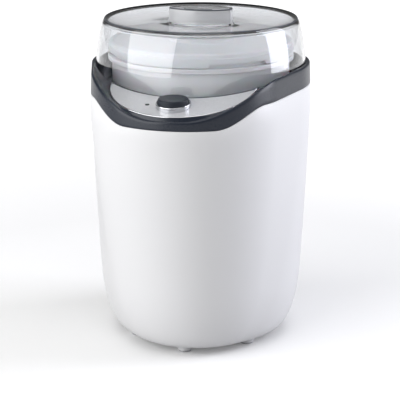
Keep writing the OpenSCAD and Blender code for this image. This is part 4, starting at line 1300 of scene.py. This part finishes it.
@dataclass
class ClearCover:
    """The clear outer cover: a bowed side, a crisp top edge, a sunk top and a hollow bar knob.

    The bow says how much of the way in (first) the side has gone at shares of its height (second). Lines
    are the depths of the painted dark edges at the cover's and the knob's top, and bands are how far they
    reach inwards: there an opaque grey is painted shade for the dark lines that these edges show. The
    knob's wall, which has a painted milky glow, starts above the dish and lies between two distances
    inside the knob's side.
    """

    foot: float = 184.2
    top: float = 234.2
    foot_radius: float = 75.6
    top_radius: float = 68.8
    wall: float = 1.8
    dish: float = 5.0
    knob_top: float = 241.0
    knob_width: float = 45.0
    knob_depth: float = 24.8
    knob_round: float = 34.3
    knob_corner: float = 1.2
    vent: float = 2.0
    painted_edge_depth: float = 0.9
    painted_edge_band: float = 0.6
    painted_knob_edge_depth: float = 1.15
    painted_knob_edge_band: float = 0.9
    painted_glow_wall: tuple[float, float] = (-0.6, 1.25)
    painted_glow_start: float = 0.8
    columns: int = 384
    side_steps: int = 34
    bow: tuple[tuple[float, float], ...] = (
        *((0, 0), (0, 0.36), (0.04, 0.46), (0.12, 0.56), (0.25, 0.67), (0.41, 0.776)),
        *((0.525, 0.84), (0.645, 0.9), (0.735, 0.942), (0.86, 0.975), (1, 1)),
    )

    @property
    def angles(self) -> np.ndarray:
        """Directions of the columns."""
        return even_angles(self.columns)

    def side(self, inset: float) -> Profile:
        """The bowed side, from the foot to the top edge.

        Args:
            inset: How far inside the outer face.

        Returns:
            Radius and height of each point.
        """
        share, run = np.array(self.bow), 1 - (1 - np.linspace(0, 1, self.side_steps)) ** 1.5
        drop = np.interp(run, share[:, 1], share[:, 0])
        for _ in range(2):
            drop[1:-1] = (drop[:-2] + 2 * drop[1:-1] + drop[2:]) / 4
        radii = self.foot_radius - inset - (self.foot_radius - self.top_radius) * drop
        return list(zip(radii, self.foot + (self.top - self.foot) * run))

    def knob_plan(self, inset: float) -> np.ndarray:
        """Distance of the knob's side from its middle.

        Args:
            inset: How far inside the knob's own side.

        Returns:
            Distance at each column.
        """
        r, half = self.knob_round - inset, self.knob_width / 2 - inset
        off = self.knob_round - self.knob_depth / 2
        limit, steps = math.asin(half / r), 60
        bulge = [(r * math.sin(a), r * math.cos(a) - off) for a in np.linspace(-limit, limit, steps + 1)]
        corners = [(x, y, 0.0) for x, y in bulge] + [(x, -y, 0.0) for x, y in bulge[::-1]]
        for k in (0, steps, steps + 1, 2 * steps + 1):
            corners[k] = (*corners[k][:2], self.knob_corner)
        plan = np.array(rounded(corners, 6))
        turn, reach = np.arctan2(plan[:, 1], plan[:, 0]), np.hypot(plan[:, 0], plan[:, 1])
        order = np.argsort(turn)
        wrapped = (self.angles + math.pi) % (2 * math.pi) - math.pi
        return np.interp(wrapped, turn[order], reach[order], period=2 * math.pi)

    def rounds(self, profile: Sequence[tuple[float, float]]) -> list[np.ndarray]:
        """Round rings, given the radius and height of each."""
        return turned_rings(profile, self.angles)

    def knobs(self, profile: Sequence[tuple[float, float]]) -> list[np.ndarray]:
        """Rings with the knob's plan, given how far inside its side each is and its height."""
        return [round_ring(self.knob_plan(max(i, 0)) + max(-i, 0), z, self.angles) for i, z in profile]

    def bridge(self, rings: list[np.ndarray], end: list[np.ndarray], shares: Sequence[float]) -> None:
        """Goes on from the last ring to new ones, with rings between at shares of the way."""
        start = rings[-1]
        rings += [start + (end[0] - start) * t for t in shares] + end

    def below_top(self, steps: Sequence[tuple[float, float]]) -> Profile:
        """Turns distances inwards and down from the top edge to radii and heights."""
        return [(self.top_radius - inset, self.top - drop) for inset, drop in steps]

    def rings(self) -> list[np.ndarray]:
        """Rings of the whole cover: up the outside to the vent and down the inside to the foot."""
        w, top, floor, kt, fr = self.wall, self.top, self.top - self.dish, self.knob_top, self.foot_radius
        slope = 0.75 * self.dish
        edge = ((0, 0.05), (0.2, 0), (0.5, 0.1), (3, 1.4), (7, 2.6), (14, slope), (24, self.dish - 0.5))
        rings = self.rounds(self.side(0)[1:-1] + self.below_top(edge))
        knob = [(-2.6, floor), (-1.1, floor + 0.25), (-0.3, floor + 1), (0, floor + 2.3), (0, floor + 6)]
        knob += [(0, kt - 1.2), (0.15, kt - 0.6), (0.5, kt - 0.2), (1.1, kt)]
        self.bridge(rings, self.knobs(knob), (0.35, 0.7))
        self.bridge(rings, self.rounds([(self.vent, kt), (self.vent, kt - w)]), (0.3, 0.6, 0.9))
        roof = [(w + 0.8, kt - w), (w + 0.2, kt - w - 0.3), (w, kt - w - 1)]
        roof += [(w, floor), (w, floor - w + 0.5), (w - 0.5, floor - w)]
        self.bridge(rings, self.knobs(roof), (0.1, 0.4, 0.7))
        edge = ((24, self.dish - 0.4 + w), (14, slope + w), (7, 2.7 + w), (3, 1.4 + w))
        edge += ((1.3, 0.8 + w), (0.85, 2.6))
        under = self.below_top(edge) + [(r, z) for r, z in self.side(w)[-1:0:-1] if z < top - 3.2]
        foot = self.foot
        under += [(fr - w, foot + 0.3), (fr - w + 0.3, foot), (fr - 0.4, foot), (fr, foot + 0.4)]
        self.bridge(rings, self.rounds(under), (0.35, 0.7))
        return rings

    def finish_slots(self, centres: np.ndarray) -> np.ndarray:
        """Which of the cover's finishes each face has.

        Args:
            centres: Middle of each face, from the axis.

        Returns:
            0 on the clear skin, 1 on the knob's wall with its painted milky glow and 2 on a narrow edge
            with its painted dark line.
        """
        x, y, z = centres.T
        reach, turn = np.hypot(x, y), np.arctan2(y, x) % (2 * math.pi)
        inside = np.interp(turn, self.angles, self.knob_plan(0), period=2 * math.pi) - reach
        rim = reach > self.top_radius - self.painted_edge_band
        # The knob's wall gets the paler copy of the clear plastic: a painted glow.
        knob = ~rim & (z >= self.top - self.dish + self.painted_glow_start)
        knob &= (inside >= self.painted_glow_wall[0]) & (inside <= self.painted_glow_wall[1])
        # The narrow top edges get the opaque grey: painted shade for their dark lines.
        edge = rim & (z > self.top - self.painted_edge_depth)
        edge |= knob & (z > self.knob_top - self.painted_knob_edge_depth) & (inside < self.painted_knob_edge_band)
        return np.where(edge, 2, np.where(knob, 1, 0))

    def build(self) -> None:
        """Builds and dresses the cover."""
        cover = skin("clear_domed_cover", self.rings(), COVER_SAN, sharp=30)
        # Second and third finishes: the knob wall's painted glow and the edges' painted shade.
        for finish in (PAINTED_GLOW_KNOB_SAN, PAINTED_DARK_EDGE_SAN):
            cover.data.materials.append(dressed(finish))
        centres = np.array([face.center for face in cover.data.polygons]) / MM - (*AXIS, 0)
        cover.data.polygons.foreach_set("material_index", self.finish_slots(centres))
        place(cover, "cover", "clear_plastic", "outer_cover")


# ---- what stays as it was drawn


INNER_FINISHES: dict[Finish, tuple[str, ...]] = {
    BASE_ABS: ("base_plate",),
    PANEL_PAINT: ("control_panel",),
    SWITCH_NYLON: ("push_switch", "board_capacitor", "cord_clamp"),
    LED_EPOXY: ("indicator_led",),
    BOARD_GREEN: ("panel_board", "control_board"),
    RELAY_BLUE: ("board_relay",),
    WELL_ALUMINIUM: ("heating_well",),
    HEATER_SILICONE: ("heater_band",),
    SPRING_STEEL: ("heater_clamp", "thermostat", "thermostat_clip", "fuse_clip"),
    FELT: ("insulation_sleeve",),
    SCREW_ZINC: ("clip_nuts",),
    CERAMIC: ("thermal_fuse", "terminal_block"),
    LEAD_BROWN: ("mains_leads",),
    LEAD_WHITE: ("heater_leads",),
    GLAND_PVC: ("cord_gland",),
    GASKET_SILICONE: ("lid_gasket",),
}


@dataclass
class InnerWorks:
    """Pieces whose drawn shape is right already and only need their finishes.

    Args:
        nodes: The CAD nodes by name.
    """

    nodes: dict[str, Piece]

    def build(self) -> None:
        """Gives each node its finish."""
        finishes = {name: finish for finish, names in INNER_FINISHES.items() for name in names}
        finishes |= {name: SCREW_ZINC for name in self.nodes if name.endswith("screws")}
        for name, node in self.nodes.items():
            if name in finishes:
                for slot in node.material_slots:
                    slot.material = dressed(finishes[name])
                LOG.info("%s is dressed in %s", name, finishes[name].name)


# ---- floor, lamps and camera


@dataclass(frozen=True)
class Softbox:
    """A soft lamp that faces the object.

    Args:
        name: Name of the lamp.
        azimuth: Its direction in degrees, 0 in front and 90 to the right.
        elevation: Its height above the horizon, in degrees.
        distance: Distance from the middle of the object, in metres.
        width: Its width in metres.
        height: Its height in metres.
        radiance: How bright its face is. A white surface in plain light is 1.
        colour: Its colour, as sRGB hex.
    """

    name: str
    azimuth: float
    elevation: float
    distance: float
    width: float
    height: float
    radiance: float
    colour: str = "#FFFFFF"

    def build(self, aim: Vector) -> None:
        """Makes the lamp.

        Args:
            aim: Point that it faces.
        """
        lamp = bpy.data.lights.new(self.name, "AREA")
        lamp.shape = "RECTANGLE"
        lamp.size, lamp.size_y = self.width, self.height
        lamp.energy = self.radiance * math.pi * self.width * self.height
        lamp.color = linear(self.colour)[:3]
        a, e = math.radians(self.azimuth), math.radians(self.elevation)
        back = Vector((math.sin(a) * math.cos(e), -math.cos(a) * math.cos(e), math.sin(e)))
        made = show(self.name, lamp)
        made.location = aim + back * self.distance
        made.rotation_euler = back.to_track_quat("Z", "Y").to_euler()


@dataclass
class Studio:
    """A pale floor, soft lamps, a white surround and the camera.

    Angles are in degrees and lengths in millimetres, and the shift is a share of the sensor. Ambient is
    the surround's light on the object. The floor glows little near the object and more far away, between
    the two distances of the ramp, in metres. Its bounce is the colour that it lends to the object.
    """

    azimuth: float = 11.86
    pitch: float = 16.51
    distance: float = 1000.0
    eye: float = 393.4
    lens: float = 126.19
    sensor: float = 36.0
    shift: float = -0.0022
    aim_height: float = 120.0
    ambient: float = 0.2
    floor_radius: float = 9000.0
    floor_drop: float = 0.05
    floor_glow: float = 0.09
    far_glow: float = 0.9
    ramp: tuple[float, float] = (0.3, 1.3)
    bounce: str = "#BABABA"
    lamps: tuple[Softbox, ...] = (
        Softbox("left_softbox", -46, 20, 1.5, 1.6, 1.34, 3.3),
        Softbox("right_softbox", 106, 20, 1.5, 0.8, 1.4, 5.8, "#F5F6FF"),
        Softbox("top_softbox", 10, 82, 1.6, 1.3, 1.3, 1.8),
    )

    def seen(self, tree: Tree) -> tuple[Node, Node]:
        """Adds what tells rays that reach the eye straight or through the clear plastic.

        Args:
            tree: Node tree that gets it.

        Returns:
            The node that is 1 for them, and that of the light's path.
        """
        path = add_node(tree, "ShaderNodeLightPath")
        rays = path.outputs["Is Camera Ray"], path.outputs["Is Transmission Ray"]
        return maths(tree, "MAXIMUM", *rays), path

    def floor(self) -> None:
        """Makes the round floor, which is not part of the object."""
        made = bpy.data.materials.new("white_paper_sweep")
        tree = emptied(made)
        seen, path = self.seen(tree)
        coords = add_node(tree, "ShaderNodeTexCoord").outputs["Object"]
        fibres = add_node(tree, "ShaderNodeTexNoise", {"Vector": coords, "Scale": per_mm(3), "Detail": 2})
        paper = mixed(tree, fibres, linear("#F3F3F3"), linear("#F6F6F6"))
        shown = mixed(tree, seen, linear(self.bounce), paper)
        matt = add_node(tree, "ShaderNodeBsdfDiffuse", {"Color": shown})
        either = maths(tree, "MAXIMUM", seen, path.outputs["Is Glossy Ray"])
        away = add_node(tree, "ShaderNodeVectorMath", {0: coords}, operation="LENGTH").outputs["Value"]
        level = ranged(tree, away, (self.floor_glow, self.far_glow), self.ramp)
        glow = add_node(tree, "ShaderNodeEmission", {"Strength": maths(tree, "MULTIPLY", either, level)})
        both = add_node(tree, "ShaderNodeAddShader", {0: matt, 1: glow})
        add_node(tree, "ShaderNodeOutputMaterial", {"Surface": both})
        disc = round_ring(self.floor_radius, -self.floor_drop, even_angles(96), (0, 0))
        mesh = raw_mesh("paper_floor", disc, [range(len(disc))])
        mesh.materials.append(made)
        show("paper_floor", mesh)

    def world(self) -> None:
        """Makes a white surround that lights the object at a plain, lower level."""
        world = bpy.data.worlds.new("white_studio")
        bpy.context.scene.world = world
        tree = emptied(world)
        strength = ranged(tree, self.seen(tree)[0], (self.ambient, 1))
        sky = add_node(tree, "ShaderNodeBackground", {"Color": (1, 1, 1, 1), "Strength": strength})
        add_node(tree, "ShaderNodeOutputWorld", {"Surface": sky})

    def camera(self) -> None:
        """Makes the camera, which looks at the front and a little of the right side."""
        lens = bpy.data.cameras.new("camera")
        lens.lens, lens.sensor_width, lens.shift_x, lens.clip_end = self.lens, self.sensor, self.shift, 50
        a = math.radians(self.azimuth)
        across, forward = self.distance * math.sin(a), AXIS[1] - self.distance * math.cos(a)
        made = show("camera", lens)
        made.location = (across * MM, forward * MM, self.eye * MM)
        made.rotation_euler = Euler((math.radians(90 - self.pitch), 0, a))
        bpy.context.scene.camera = made

    def build(self) -> None:
        """Builds the studio."""
        bpy.context.scene.view_settings.view_transform = "Standard"
        for lamp in self.lamps:
            lamp.build(Vector([c * MM for c in (*AXIS, self.aim_height)]))
        self.floor()
        self.world()
        self.camera()


def main() -> None:
    """Builds the whole scene."""
    logging.basicConfig(level=logging.INFO, format="%(name)s: %(message)s", stream=sys.stdout)
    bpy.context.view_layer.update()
    Studio().build()
    shape = BodyShape()
    collar = Collar(shape)
    inner = InnerWorks(frame["nodes"])
    for part in (Casing(shape), collar, ControlPanel(collar), Vessel(), ClearCover(), inner):
        part.build()
        LOG.info("%s is done", type(part).__name__)


if __name__ == "__main__":
    main()
